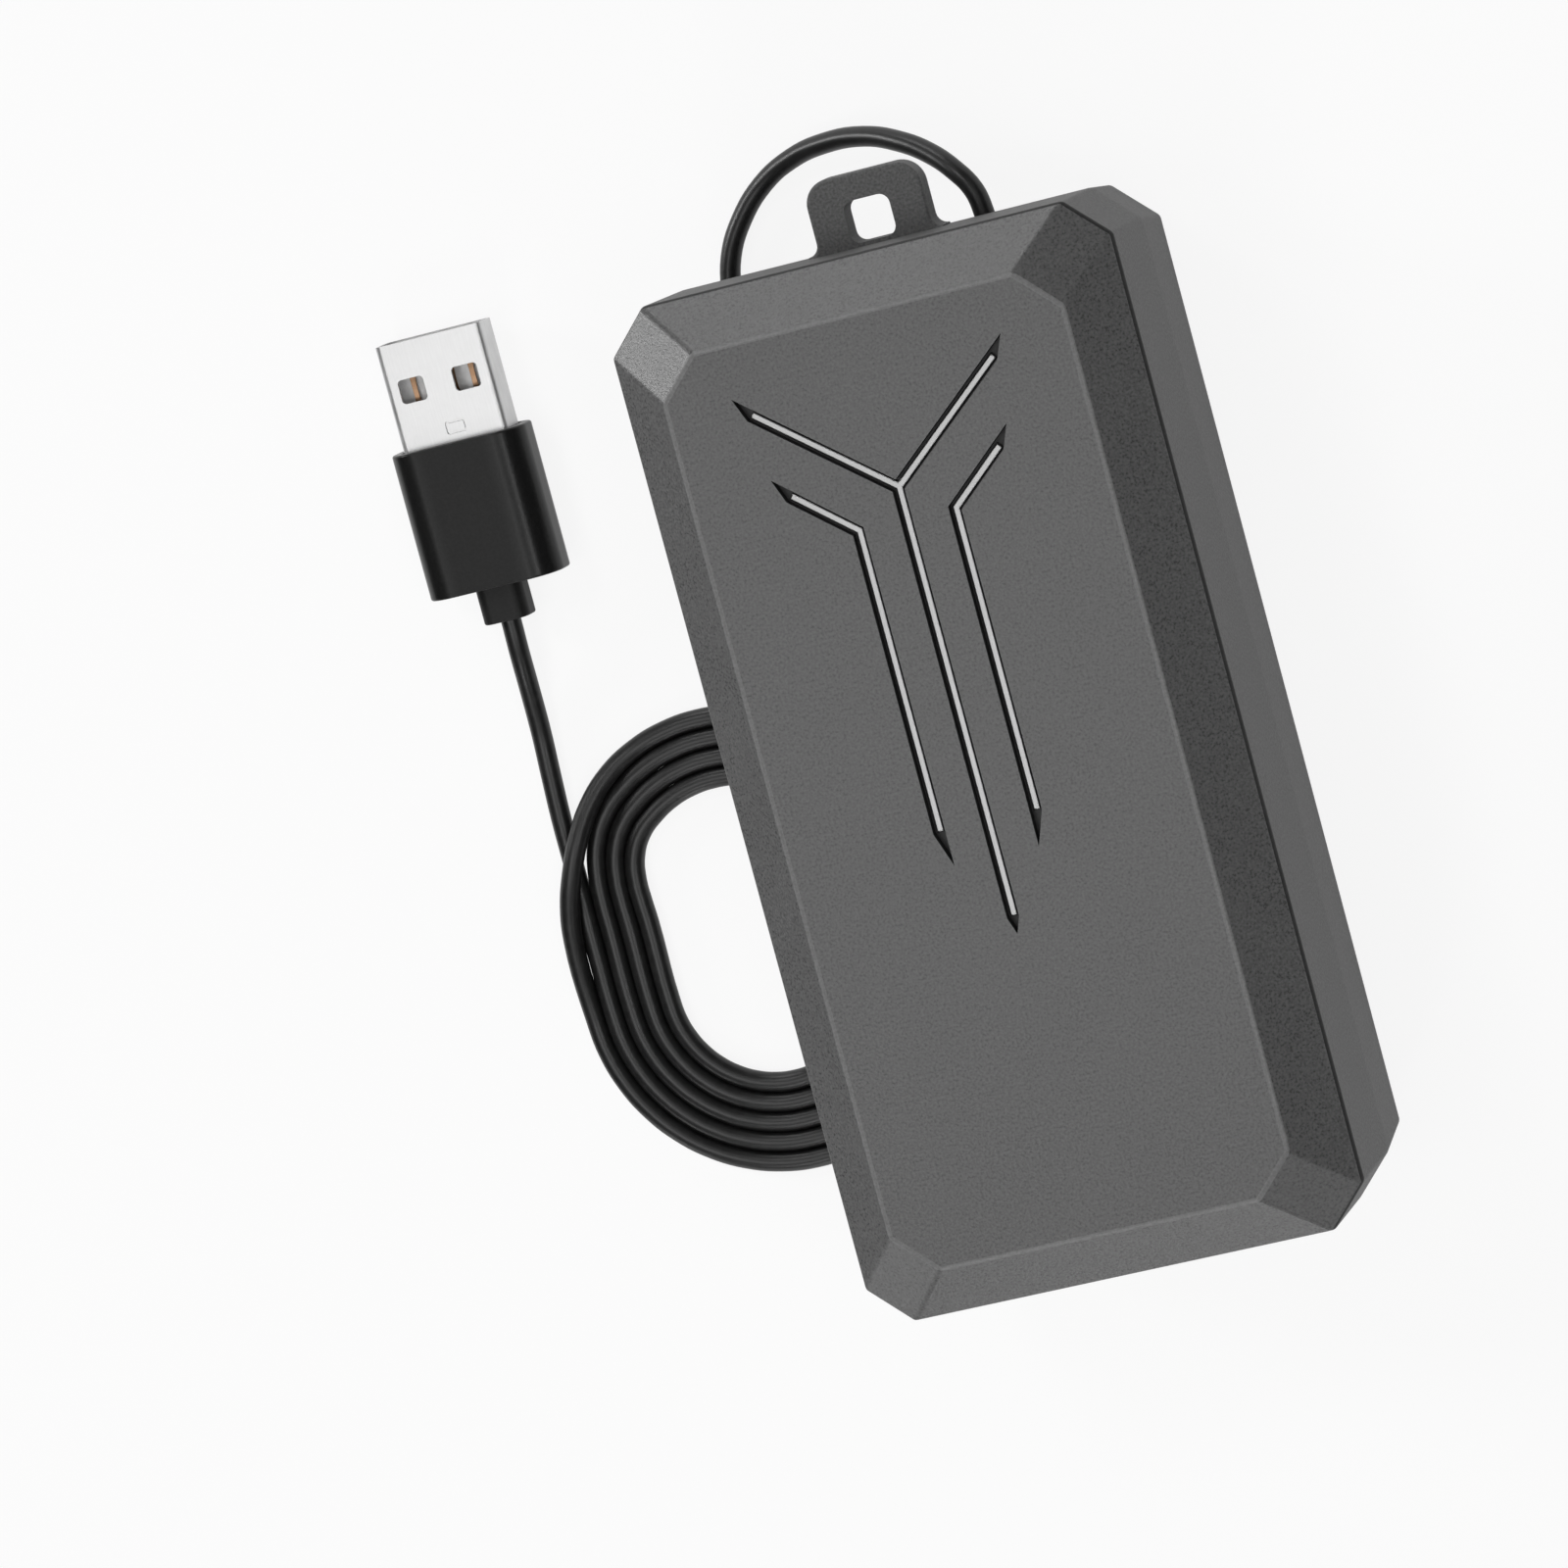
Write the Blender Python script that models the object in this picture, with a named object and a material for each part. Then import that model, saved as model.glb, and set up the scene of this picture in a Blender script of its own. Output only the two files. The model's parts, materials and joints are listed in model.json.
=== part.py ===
"""USB aquarium air pump: bevelled two-shell case, vibrating-arm diaphragm drive, board and USB cord."""

import bpy
import bmesh
from math import cos, pi, radians, sin, sqrt
from mathutils import Matrix, Vector
from mathutils.geometry import interpolate_bezier

MM = 0.001

# Clearances
GAP = 0.3 * MM
BEARING_GAP = 0.15 * MM
FILM_GAP = 0.06 * MM

# Case
BODY_WIDTH = 54.0 * MM
BODY_LENGTH = 108.0 * MM
CORNER_CUT = 4.3 * MM
WALL = 2.0 * MM
BEVEL_INSET = 5.55 * MM
BEVEL_DEPTH = 4.7 * MM
SIDE_DEPTH = 14.4 * MM
RIDGE_INSET = 0.2 * MM
TAPER_DEPTH = 11.4 * MM
TAPER_INSET = 0.9 * MM
REAR_CHAMFER = 1.0 * MM
LIP_HEIGHT = 2.0 * MM
LIP_WIDTH = 1.0 * MM

# Hanger tab
TAB_WIDTH = 12.4 * MM
TAB_REACH = 7.4 * MM
TAB_THICKNESS = 3.0 * MM
TAB_CORNER = 2.6 * MM
TAB_FOOT_FLARE = 1.2 * MM
TAB_ABOVE_RIDGE = 3.4 * MM
TAB_HOLE_WIDTH = 5.0 * MM
TAB_HOLE_HEIGHT = 4.4 * MM
TAB_HOLE_CORNER = 0.6 * MM
TAB_HOLE_RISE = 0.25 * MM

# Ornament grooves, each point measured from the middle of the front face
GROOVE_WIDTH = 1.3 * MM
GROOVE_DEPTH = 1.1 * MM
ARM_SLANT = 2.4 * MM
LEG_SLANT = 3.6 * MM
STEM_POINT = 1.8 * MM
TRIM_WIDTH = 0.6 * MM
TRIM_HEIGHT = 0.45 * MM
Y_ARM_END = (14.9 * MM, 42.5 * MM)
Y_JUNCTION = (0.0, 30.4 * MM)
Y_STEM_TIP = (0.0, -16.5 * MM)
SIDE_ARM_END = (13.1 * MM, 33.6 * MM)
SIDE_BEND = (5.2 * MM, 27.0 * MM)
SIDE_LEG_END = (5.2 * MM, -8.3 * MM)

# Feet and case screws
FOOT_HEIGHT = 5.2 * MM
FOOT_RADIUS = 4.0 * MM
FOOT_STEM_RADIUS = 1.8 * MM
FOOT_BULB_RADIUS = 2.6 * MM
FOOT_BULB_HEIGHT = 0.8 * MM
FOOT_X = 15.0 * MM
FOOT_FROM_END = 19.5 * MM
SCREW_X = 18.0 * MM
SCREW_FROM_END = 10.0 * MM
BOSS_RADIUS = 3.2 * MM
SCREW_HEAD_RADIUS = 2.2 * MM
SCREW_HEAD_HEIGHT = 1.6 * MM
SCREW_SHANK_RADIUS = 1.1 * MM
SCREW_SEAT = 4.0 * MM
SCREW_BITE = 6.0 * MM

# Air intake
FELT_RADIUS = 5.0 * MM
FELT_THICKNESS = 2.6 * MM
FELT_X = 6.0 * MM
FELT_RIM_WIDTH = 1.0 * MM
INTAKE_HOLE_RADIUS = 0.7 * MM
INTAKE_RING_RADIUS = 3.0 * MM
INTAKE_HOLES = 6

# Chassis and its rubber bushes
CHASSIS_LIFT = 1.5 * MM
CHASSIS_THICKNESS = 1.5 * MM
CHASSIS_HALF_WIDTH = 21.5 * MM
CHASSIS_MARGIN = 1.0 * MM
BUSH_X = 17.5 * MM
BUSH_FROM_HEAD = 6.0 * MM
BUSH_FROM_FRONT = 5.0 * MM
BUSH_FROM_BACK = 9.0 * MM
BUSH_RADIUS = 3.6 * MM
BUSH_NECK_RADIUS = 2.6 * MM
BUSH_FLANGE = 0.8 * MM
BUSH_PIN_RADIUS = 1.4 * MM

# Swinging arm
DRIVE_ABOVE_CHASSIS = 10.7 * MM
PIVOT_X = 5.0 * MM
PIVOT_Y = -27.0 * MM
PIN_RADIUS = 1.5 * MM
PIN_HEAD_RADIUS = 3.0 * MM
PIN_HEAD_HEIGHT = 1.5 * MM
HUB_RADIUS = 4.0 * MM
HUB_HALF_HEIGHT = 6.5 * MM
ARM_WIDTH = 3.0 * MM
ARM_HEIGHT = 8.0 * MM
ARM_LENGTH = 28.0 * MM
ARM_HEAD_THICKNESS = 1.6 * MM
MAGNET_WIDTH = 10.0 * MM
MAGNET_LENGTH = 5.0 * MM
MAGNET_HEIGHT = 10.0 * MM
AIR_GAP = 1.5 * MM

# Electromagnet
CORE_THICKNESS = 10.0 * MM
CORE_LEG_WIDTH = 7.0 * MM
CORE_WINDOW = 5.5 * MM
CORE_OUTER_LEG = 4.0 * MM
CORE_LEG_LENGTH = 17.0 * MM
CORE_YOKE = 4.0 * MM
BOBBIN_WALL = 1.0 * MM
BOBBIN_FLANGE = 1.0 * MM
WINDING_BUILD = 3.2 * MM
COLUMN_RADIUS = 1.9 * MM

# Pump head, stacked along X from the diaphragm to the wall
DIAPHRAGM_FROM_PIVOT = 18.5 * MM
DIAPHRAGM_RADIUS = 10.0 * MM
DIAPHRAGM_FLANGE = 1.1 * MM
DIAPHRAGM_SKIN = 0.8 * MM
DIAPHRAGM_DISC_RADIUS = 4.0 * MM
DIAPHRAGM_DISC = 1.4 * MM
DIAPHRAGM_REACH = 7.0 * MM
STUD_RADIUS = 1.0 * MM
STUD_HEAD_RADIUS = 2.2 * MM
STUD_HEAD = 1.4 * MM
STUD_PLATE_RADIUS = 3.0 * MM
STUD_PLATE = 1.2 * MM
CHAMBER_RADIUS = 8.4 * MM
CHAMBER_DEPTH = 5.7 * MM
CHAMBER_BACK = 2.0 * MM
HEAD_HALF_LENGTH = 12.0 * MM
HEAD_HALF_HEIGHT = 10.2 * MM
CLAMP_THICKNESS = 1.5 * MM
VALVE_PLATE = 1.0 * MM
PORT_RADIUS = 1.6 * MM
PORT_SPREAD = 4.6 * MM
FLAP_RADIUS = 2.8 * MM
FLAP_THICKNESS = 0.5 * MM
FLAP_POCKET_RADIUS = 3.6 * MM
HEAD_COVER = 6.2 * MM
HEAD_POCKET_DEPTH = 4.4 * MM
HEAD_SCREW_Y = 10.0 * MM
HEAD_SCREW_Z = 8.2 * MM
LUG_LENGTH = 6.0 * MM
LUG_HALF_HEIGHT = 3.2 * MM
BORE_RADIUS = 1.2 * MM

# Air outlet
OUTLET_X = -8.5 * MM
OUTLET_POCKET_RADIUS = 4.9 * MM
OUTLET_POCKET_DEPTH = 9.0 * MM
OUTLET_TUBE_WALL = 1.4 * MM
NIPPLE_RADIUS = 2.0 * MM
NIPPLE_BARB = 0.45 * MM
NIPPLE_FLANGE_RADIUS = 3.8 * MM
NIPPLE_FLANGE = 1.0 * MM
SPIGOT_LENGTH = 4.6 * MM
HOSE_WALL = 1.0 * MM

# Driver board
BOARD_HALF_WIDTH = 14.0 * MM
BOARD_FROM_WALL = 4.3 * MM
BOARD_LENGTH = 10.4 * MM
BOARD_THICKNESS = 1.6 * MM
BOARD_LIFT = 2.0 * MM
BOARD_SCREW_X = 11.4 * MM
BOARD_SCREW_FROM_EDGE = 2.6 * MM
BOARD_POST_RADIUS = 2.2 * MM
BOARD_SCREW_RADIUS = 0.8 * MM
BOARD_SCREW_HEAD = 1.7 * MM
CHIP_SIZE = (5.0 * MM, 4.0 * MM, 1.5 * MM)
CHIP_FROM_EDGE = 5.6 * MM
CAPACITOR_X = -7.4 * MM
CAPACITOR_FROM_EDGE = 7.0 * MM
CAPACITOR_RADIUS = 2.5 * MM
CAPACITOR_HEIGHT = 7.0 * MM
WIRE_RADIUS = 0.45 * MM

# Cord, its grommet and its coil
CORD_DIAMETER = 2.2 * MM
GROMMET_X = 9.6 * MM
GROMMET_ABOVE_BOARD = 1.9 * MM
GROMMET_NECK_RADIUS = 2.2 * MM
GROMMET_FLANGE_RADIUS = 3.0 * MM
GROMMET_FLANGE = 0.7 * MM
CORD_TAIL = 3.0 * MM
COIL_X = -38.0 * MM
COIL_Y = -15.7 * MM
COIL_STRAIGHT = 8.8 * MM
COIL_OUTER_RADIUS = 21.3 * MM
COIL_INNER_RADIUS = 10.2 * MM

# USB plug, lying flat with its metal shell towards +Y
PLUG_X = -54.2 * MM
PLUG_FRONT_Y = 55.1 * MM
SHELL_WIDTH = 12.0 * MM
SHELL_HEIGHT = 4.5 * MM
SHELL_LENGTH = 11.5 * MM
SHELL_INSERT = 2.2 * MM
SHELL_WALL = 0.35 * MM
WINDOW_WIDTH = 2.9 * MM
WINDOW_LENGTH = 2.6 * MM
WINDOW_X = 3.05 * MM
WINDOW_FROM_FRONT = 5.2 * MM
OVERMOULD_WIDTH = 15.1 * MM
OVERMOULD_LENGTH = 15.9 * MM
OVERMOULD_HEIGHT = 8.0 * MM
OVERMOULD_EDGE = 1.2 * MM
COLLAR_WIDTH = 5.2 * MM
COLLAR_HEIGHT = 4.4 * MM
COLLAR_LENGTH = 3.9 * MM
TONGUE_WIDTH = 10.6 * MM
TONGUE_THICKNESS = 1.7 * MM
CONTACT_WIDTH = 1.0 * MM
CONTACT_THICKNESS = 0.2 * MM
CONTACT_PITCH = 2.2 * MM
CONTACT_LENGTH = 8.0 * MM

# Levels and places worked out from the sizes above
CENTRE_Y = -TAB_REACH / 2
Z_REAR = FOOT_HEIGHT
Z_TAPER = Z_REAR + REAR_CHAMFER
Z_RIDGE = Z_TAPER + TAPER_DEPTH
Z_SEAM = Z_RIDGE + SIDE_DEPTH
Z_FRONT = Z_SEAM + BEVEL_DEPTH
Z_FLOOR = Z_REAR + WALL
Z_CEILING = Z_FRONT - WALL
TAPER_TOTAL = RIDGE_INSET + TAPER_INSET
Z_CHASSIS = Z_FLOOR + CHASSIS_LIFT
Z_CHASSIS_TOP = Z_CHASSIS + CHASSIS_THICKNESS
Z_DRIVE = Z_CHASSIS_TOP + DRIVE_ABOVE_CHASSIS
HALF_WIDTH = BODY_WIDTH / 2
HALF_LENGTH = BODY_LENGTH / 2
END_WALL_Y = HALF_LENGTH - TAPER_TOTAL - WALL
LIP_INSET = WALL + GAP
FOOT_Y = HALF_LENGTH - FOOT_FROM_END
SCREW_Y = HALF_LENGTH - SCREW_FROM_END
SHANK_HOLE = SCREW_SHANK_RADIUS + GAP

ARM_TIP_Y = PIVOT_Y + ARM_LENGTH
MAGNET_START_Y = ARM_TIP_Y + GAP
POLE_Y = MAGNET_START_Y + MAGNET_LENGTH + AIR_GAP
YOKE_Y = POLE_Y + CORE_LEG_LENGTH
CORE_BACK_Y = YOKE_Y + CORE_YOKE
CHASSIS_BACK_Y = CORE_BACK_Y + CHASSIS_MARGIN
CHASSIS_TIP_Y = PIVOT_Y - HUB_RADIUS - CHASSIS_MARGIN
CORE_HALF_WIDTH = CORE_LEG_WIDTH / 2 + CORE_WINDOW + CORE_OUTER_LEG
COLUMN_X = CORE_HALF_WIDTH - CORE_OUTER_LEG / 2

DIAPHRAGM_Y = PIVOT_Y + DIAPHRAGM_FROM_PIVOT
ARM_FACE_X = PIVOT_X - ARM_WIDTH / 2
DISC_X = ARM_FACE_X - GAP - DIAPHRAGM_DISC
FLANGE_X = DISC_X - DIAPHRAGM_REACH
CLAMP_X = FLANGE_X + DIAPHRAGM_FLANGE + GAP
CHAMBER_X = FLANGE_X - GAP
CHAMBER_BACK_X = CHAMBER_X - CHAMBER_DEPTH - CHAMBER_BACK
VALVE_X = CHAMBER_BACK_X - GAP
COVER_X = VALVE_X - VALVE_PLATE - GAP
COVER_BACK_X = COVER_X - HEAD_COVER
HEAD_BORE_X = COVER_X - HEAD_POCKET_DEPTH / 2
HEAD_FRONT_Y = DIAPHRAGM_Y - HEAD_HALF_LENGTH
HEAD_BACK_Y = DIAPHRAGM_Y + HEAD_HALF_LENGTH
LUG_Y = HEAD_FRONT_Y - LUG_LENGTH
CHASSIS_FRONT_Y = HEAD_FRONT_Y - CHASSIS_MARGIN
Z_INTAKE = Z_DRIVE + PORT_SPREAD
Z_OUTLET = Z_DRIVE - PORT_SPREAD

OUTLET_FLOOR_Y = -HALF_LENGTH + OUTLET_POCKET_DEPTH
OUTLET_TUBE_END_Y = OUTLET_FLOOR_Y + WALL
NIPPLE_SEAT_Y = OUTLET_TUBE_END_Y + GAP
HOSE_BORE = NIPPLE_RADIUS + NIPPLE_BARB + GAP

BUSH_PLACES = (
    (-BUSH_X, HEAD_BACK_Y + BUSH_FROM_HEAD),
    (-BUSH_X, CHASSIS_BACK_Y - BUSH_FROM_BACK),
    (BUSH_X, CHASSIS_FRONT_Y + BUSH_FROM_FRONT),
    (BUSH_X, CHASSIS_BACK_Y - BUSH_FROM_BACK),
)

FELT_Y = FELT_RADIUS + GAP + FELT_RIM_WIDTH + GAP - END_WALL_Y
BOARD_END_Y = END_WALL_Y - BOARD_FROM_WALL
BOARD_START_Y = BOARD_END_Y - BOARD_LENGTH
Z_BOARD = Z_FLOOR + BOARD_LIFT + GAP
Z_BOARD_TOP = Z_BOARD + BOARD_THICKNESS
Z_GROMMET = Z_BOARD_TOP + GROMMET_ABOVE_BOARD
CORD_RADIUS = CORD_DIAMETER / 2

Z_PLUG = OVERMOULD_HEIGHT / 2
OVERMOULD_FRONT_Y = PLUG_FRONT_Y - SHELL_LENGTH
OVERMOULD_BACK_Y = OVERMOULD_FRONT_Y - OVERMOULD_LENGTH
COLLAR_END_Y = OVERMOULD_BACK_Y - COLLAR_LENGTH
SHELL_BACK_Y = OVERMOULD_FRONT_Y - SHELL_INSERT
Z_TONGUE = Z_PLUG - SHELL_HEIGHT / 2 + SHELL_WALL + GAP

ROUND = 20
SMALL_ROUND = 14

# Route of the cord from the grommet round the hanger end, under the case and over the coil, by hand
CORD_ARC_ROUTE = (
    (9.6, 47.9, None),
    (9.6, 54.6, None),
    (9.1, 56.5, 12.9),
    (7.8, 58.4, 12.4),
    (5.2, 60.8, 10.9),
    (1.6, 62.8, 8.9),
    (-2.4, 64.0, 6.6),
    (-7.4, 64.2, 4.1),
    (-11.8, 63.4, 2.3),
    (-15.8, 61.5, 1.3),
    (-19.1, 58.4, 1.15),
    (-21.2, 55.0, 1.15),
    (-22.2, 51.0, 1.15),
    (-23.0, 42.0, 1.15),
    (-24.3, 30.0, 1.15),
    (-25.6, 20.0, 1.5),
    (-26.6, 13.0, 3.4),
    (-27.4, 7.0, 3.75),
    (-28.6, 1.0, 3.75),
    (-29.6, -4.6, 3.7),
    (-30.0, -9.6, 2.7),
    (-29.7, -15.0, 1.3),
)

# Route of the lead from the plug's collar to the outer turn of the coil, by hand
CORD_LEAD_ROUTE = (
    (-54.2, 23.4, 4.0),
    (-54.35, 20.2, 3.7),
    (-54.8, 16.0, 2.3),
    (-55.2, 11.0, 1.2),
    (-55.4, 6.4, 1.15),
    (-55.5, 2.9, 1.15),
)


def clear_scene():
    for old in list(bpy.data.objects):
        bpy.data.objects.remove(old, do_unlink=True)


def finish(name, colour, roughness, metallic=0.0):
    """One Principled material for a sub-part."""
    material = bpy.data.materials.new(name)
    material.use_nodes = True
    shader = material.node_tree.nodes["Principled BSDF"]
    shader.inputs["Base Color"].default_value = (*colour, 1.0)
    shader.inputs["Roughness"].default_value = roughness
    shader.inputs["Metallic"].default_value = metallic
    return material


def place_object(name, data, origin):
    item = bpy.data.objects.new(name, data)
    bpy.context.scene.collection.objects.link(item)
    item.parent = pump_frame
    item.location = origin
    return item


def part(name, shape, material, origin=(0, 0, 0)):
    """A sub-part: its mesh is drawn in the case's coordinates and its object sits at origin."""
    bmesh.ops.translate(shape, verts=shape.verts, vec=-Vector(origin))
    mesh = bpy.data.meshes.new(name)
    shape.to_mesh(mesh)
    shape.free()
    mesh.materials.append(material)
    mesh.shade_smooth()
    mesh.set_sharp_from_angle(angle=radians(32))
    return place_object(name, mesh, origin)


def tool(name, shape):
    """A helper shape for a Boolean, left out of the model."""
    mesh = bpy.data.meshes.new(name)
    shape.to_mesh(mesh)
    shape.free()
    item = place_object(name, mesh, (0, 0, 0))
    item.hide_render = True
    item.display_type = "WIRE"
    return item


def boolean(target, operation, *shapes):
    for number, shape in enumerate(shapes):
        title = f"{target.name}_{operation.lower()}_{len(target.modifiers)}_{number}"
        step = target.modifiers.new(title, "BOOLEAN")
        step.operation = operation
        step.solver = "EXACT"
        step.object = tool(title, shape)
    return target


def cut(target, *shapes):
    return boolean(target, "DIFFERENCE", *shapes)


def fuse(target, *shapes):
    return boolean(target, "UNION", *shapes)


def closed(shape):
    """Merges the seams of a shape and turns its faces outwards."""
    bmesh.ops.remove_doubles(shape, verts=shape.verts, dist=1e-7)
    bmesh.ops.recalc_face_normals(shape, faces=shape.faces)
    return shape


def box(low, high):
    shape = bmesh.new()
    bmesh.ops.create_cube(shape, size=1.0)
    low = Vector(low)
    high = Vector(high)
    bmesh.ops.scale(shape, verts=shape.verts, vec=high - low)
    bmesh.ops.translate(shape, verts=shape.verts, vec=(low + high) / 2)
    return shape


def turned(profile, centre, axis="Z", steps=ROUND):
    """Spins (radius, height) points round an axis. An outline that starts and ends on the axis is a solid."""
    shape = bmesh.new()
    verts = [shape.verts.new((radius, 0, height)) for radius, height in profile]
    pairs = list(zip(verts, verts[1:]))
    if profile[0][0] > 0:
        pairs.append((verts[-1], verts[0]))
    edges = [shape.edges.new(pair) for pair in pairs]
    bmesh.ops.spin(
        shape, geom=verts + edges, axis=(0, 0, 1), cent=(0, 0, 0), steps=steps, angle=2 * pi, use_merge=True
    )
    closed(shape)
    cap_centres = [vert for vert in shape.verts if vert.co.xy.length < FILM_GAP]
    bmesh.ops.dissolve_verts(shape, verts=cap_centres)
    turns = {"Z": Matrix(), "X": Matrix.Rotation(pi / 2, 4, "Y"), "Y": Matrix.Rotation(-pi / 2, 4, "X")}
    shape.transform(Matrix.Translation(centre) @ turns[axis])
    return shape


def rod(radius, start, end, axis="Z", steps=ROUND):
    """A cylinder along an axis, from start to that axis's coordinate end."""
    length = end - start["XYZ".index(axis)]
    low, high = sorted((0.0, length))
    return turned([(0, low), (radius, low), (radius, high), (0, high)], start, axis, steps)


def prism(points, low, high):
    """A flat outline of (x, y) points, extruded along Z."""
    shape = bmesh.new()
    face = shape.faces.new([shape.verts.new((x, y, low)) for x, y in points])
    made = bmesh.ops.extrude_face_region(shape, geom=[face])
    lifted = [item for item in made["geom"] if isinstance(item, bmesh.types.BMVert)]
    bmesh.ops.translate(shape, verts=lifted, vec=(0, 0, high - low))
    return closed(shape)


def arc_points(centre, radius, start, end, steps):
    return [
        (
            centre[0] + radius * cos(radians(start + (end - start) * step / steps)),
            centre[1] + radius * sin(radians(start + (end - start) * step / steps)),
        )
        for step in range(steps + 1)
    ]


def rounded_rectangle(half_x, half_y, corner, steps=3):
    """Outline round the origin, counter-clockwise."""
    inner_x = half_x - corner
    inner_y = half_y - corner
    outline = arc_points((inner_x, inner_y), corner, 0, 90, steps)
    outline += arc_points((-inner_x, inner_y), corner, 90, 180, steps)
    outline += arc_points((-inner_x, -inner_y), corner, 180, 270, steps)
    return outline + arc_points((inner_x, -inner_y), corner, 270, 360, steps)


def stadium(half_straight, radius, steps=14):
    """Oblong outline with round ends, its long side along Y."""
    top = arc_points((0, half_straight), radius, 0, 180, steps)
    bottom = arc_points((0, -half_straight), radius, 180, 360, steps)
    return top + bottom


def moved(shape, offset):
    bmesh.ops.translate(shape, verts=shape.verts, vec=offset)
    return shape


def octagon(inset, cut_size):
    """The case's outline, moved inwards by inset."""
    x = HALF_WIDTH - inset
    y = HALF_LENGTH - inset
    near_x = x - cut_size
    near_y = y - cut_size
    right = [(near_x, y), (x, near_y), (x, -near_y), (near_x, -y)]
    return right + [(-a, b) for a, b in reversed(right)]


def inner_cut(inset):
    """Corner cut of a wall that runs parallel to the outside, inset behind it."""
    return CORNER_CUT - inset * (2 - sqrt(2))


def case_loft(levels):
    """A closed shell through octagons given as (inset, corner cut, height), capped at both ends."""
    shape = bmesh.new()
    rings = []
    for inset, cut_size, height in levels:
        rings.append([shape.verts.new((x, y, height)) for x, y in octagon(inset, cut_size)])
    for first, second in zip(rings, rings[1:]):
        for corner in range(len(first)):
            shape.faces.new((first[corner - 1], first[corner], second[corner], second[corner - 1]))
    shape.faces.new(rings[0])
    shape.faces.new(rings[-1])
    return closed(shape)


def route_points(route, spacing):
    """Evenly spaced points on a smooth curve through hand-chosen points."""
    points = [Vector(point) for point in route]
    fine = []
    for index in range(len(points) - 1):
        before = points[max(index - 1, 0)]
        start = points[index]
        end = points[index + 1]
        after = points[min(index + 2, len(points) - 1)]
        handle_out = start + (end - before) / 6
        handle_in = end - (after - start) / 6
        fine += interpolate_bezier(start, handle_out, handle_in, end, 12)[:-1]
    fine.append(points[-1])
    chosen = [fine[0]]
    for point in fine[1:-1]:
        if (point - chosen[-1]).length >= spacing:
            chosen.append(point)
    if (fine[-1] - chosen[-1]).length < spacing / 2 and len(chosen) > 1:
        chosen.pop()
    return chosen + [fine[-1]]


def tube(name, points, radius, material, resolution=2, caps=True):
    """A round cord or wire along points."""
    data = bpy.data.curves.new(name, "CURVE")
    data.dimensions = "3D"
    data.bevel_depth = radius
    data.bevel_resolution = resolution
    data.use_fill_caps = caps
    spline = data.splines.new("POLY")
    spline.points.add(len(points) - 1)
    for knot, point in zip(spline.points, points):
        knot.co = (*point, 1.0)
    data.materials.append(material)
    return place_object(name, data, (0, 0, 0))


def mirrored(points):
    return [(-x, y) for x, y in reversed(points)]


def side_outline(half_width, pointed):
    """The right ornament, a leg with a bent arm, its ends drawn out along the inner edge or square."""
    bend = Vector(SIDE_BEND)
    arm_tip = Vector(SIDE_ARM_END)
    leg_tip = Vector(SIDE_LEG_END)
    arm = (arm_tip - bend).normalized()
    leg = (leg_tip - bend).normalized()
    arm_in = Vector((-arm.y, arm.x)) * half_width
    leg_in = Vector((leg.y, -leg.x)) * half_width
    mitre = (arm_in + leg_in) / (1 + arm_in.dot(leg_in) / half_width**2)
    arm_stop = arm_tip - arm * ARM_SLANT
    leg_stop = leg_tip - leg * LEG_SLANT
    outer = [leg_stop - leg_in, bend - mitre, arm_stop - arm_in]
    if pointed:
        return [arm_tip + arm_in, bend + mitre, leg_tip + leg_in] + outer
    return [arm_stop + arm_in, bend + mitre, leg_stop + leg_in] + outer


def y_outline(half_width, pointed):
    """The ornament with two arms and a stem, their ends drawn out to points or square."""
    junction = Vector(Y_JUNCTION)
    arm_tip = Vector(Y_ARM_END)
    arm = (arm_tip - junction).normalized()
    arm_in = Vector((-arm.y, arm.x)) * half_width
    arm_stop = arm_tip - arm * ARM_SLANT
    right = [
        (arm_tip if pointed else arm_stop) + arm_in,
        arm_stop - arm_in,
        (half_width, junction.y - half_width * (1 - arm.y) / arm.x),
        (half_width, Y_STEM_TIP[1] + STEM_POINT),
    ]
    top = [(0, junction.y + half_width / arm.x)]
    bottom = [Y_STEM_TIP] if pointed else []
    return top + right + bottom + mirrored(right)


def four_corners(x, y):
    return [(side * x, end * y) for side in (-1, 1) for end in (-1, 1)]


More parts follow.
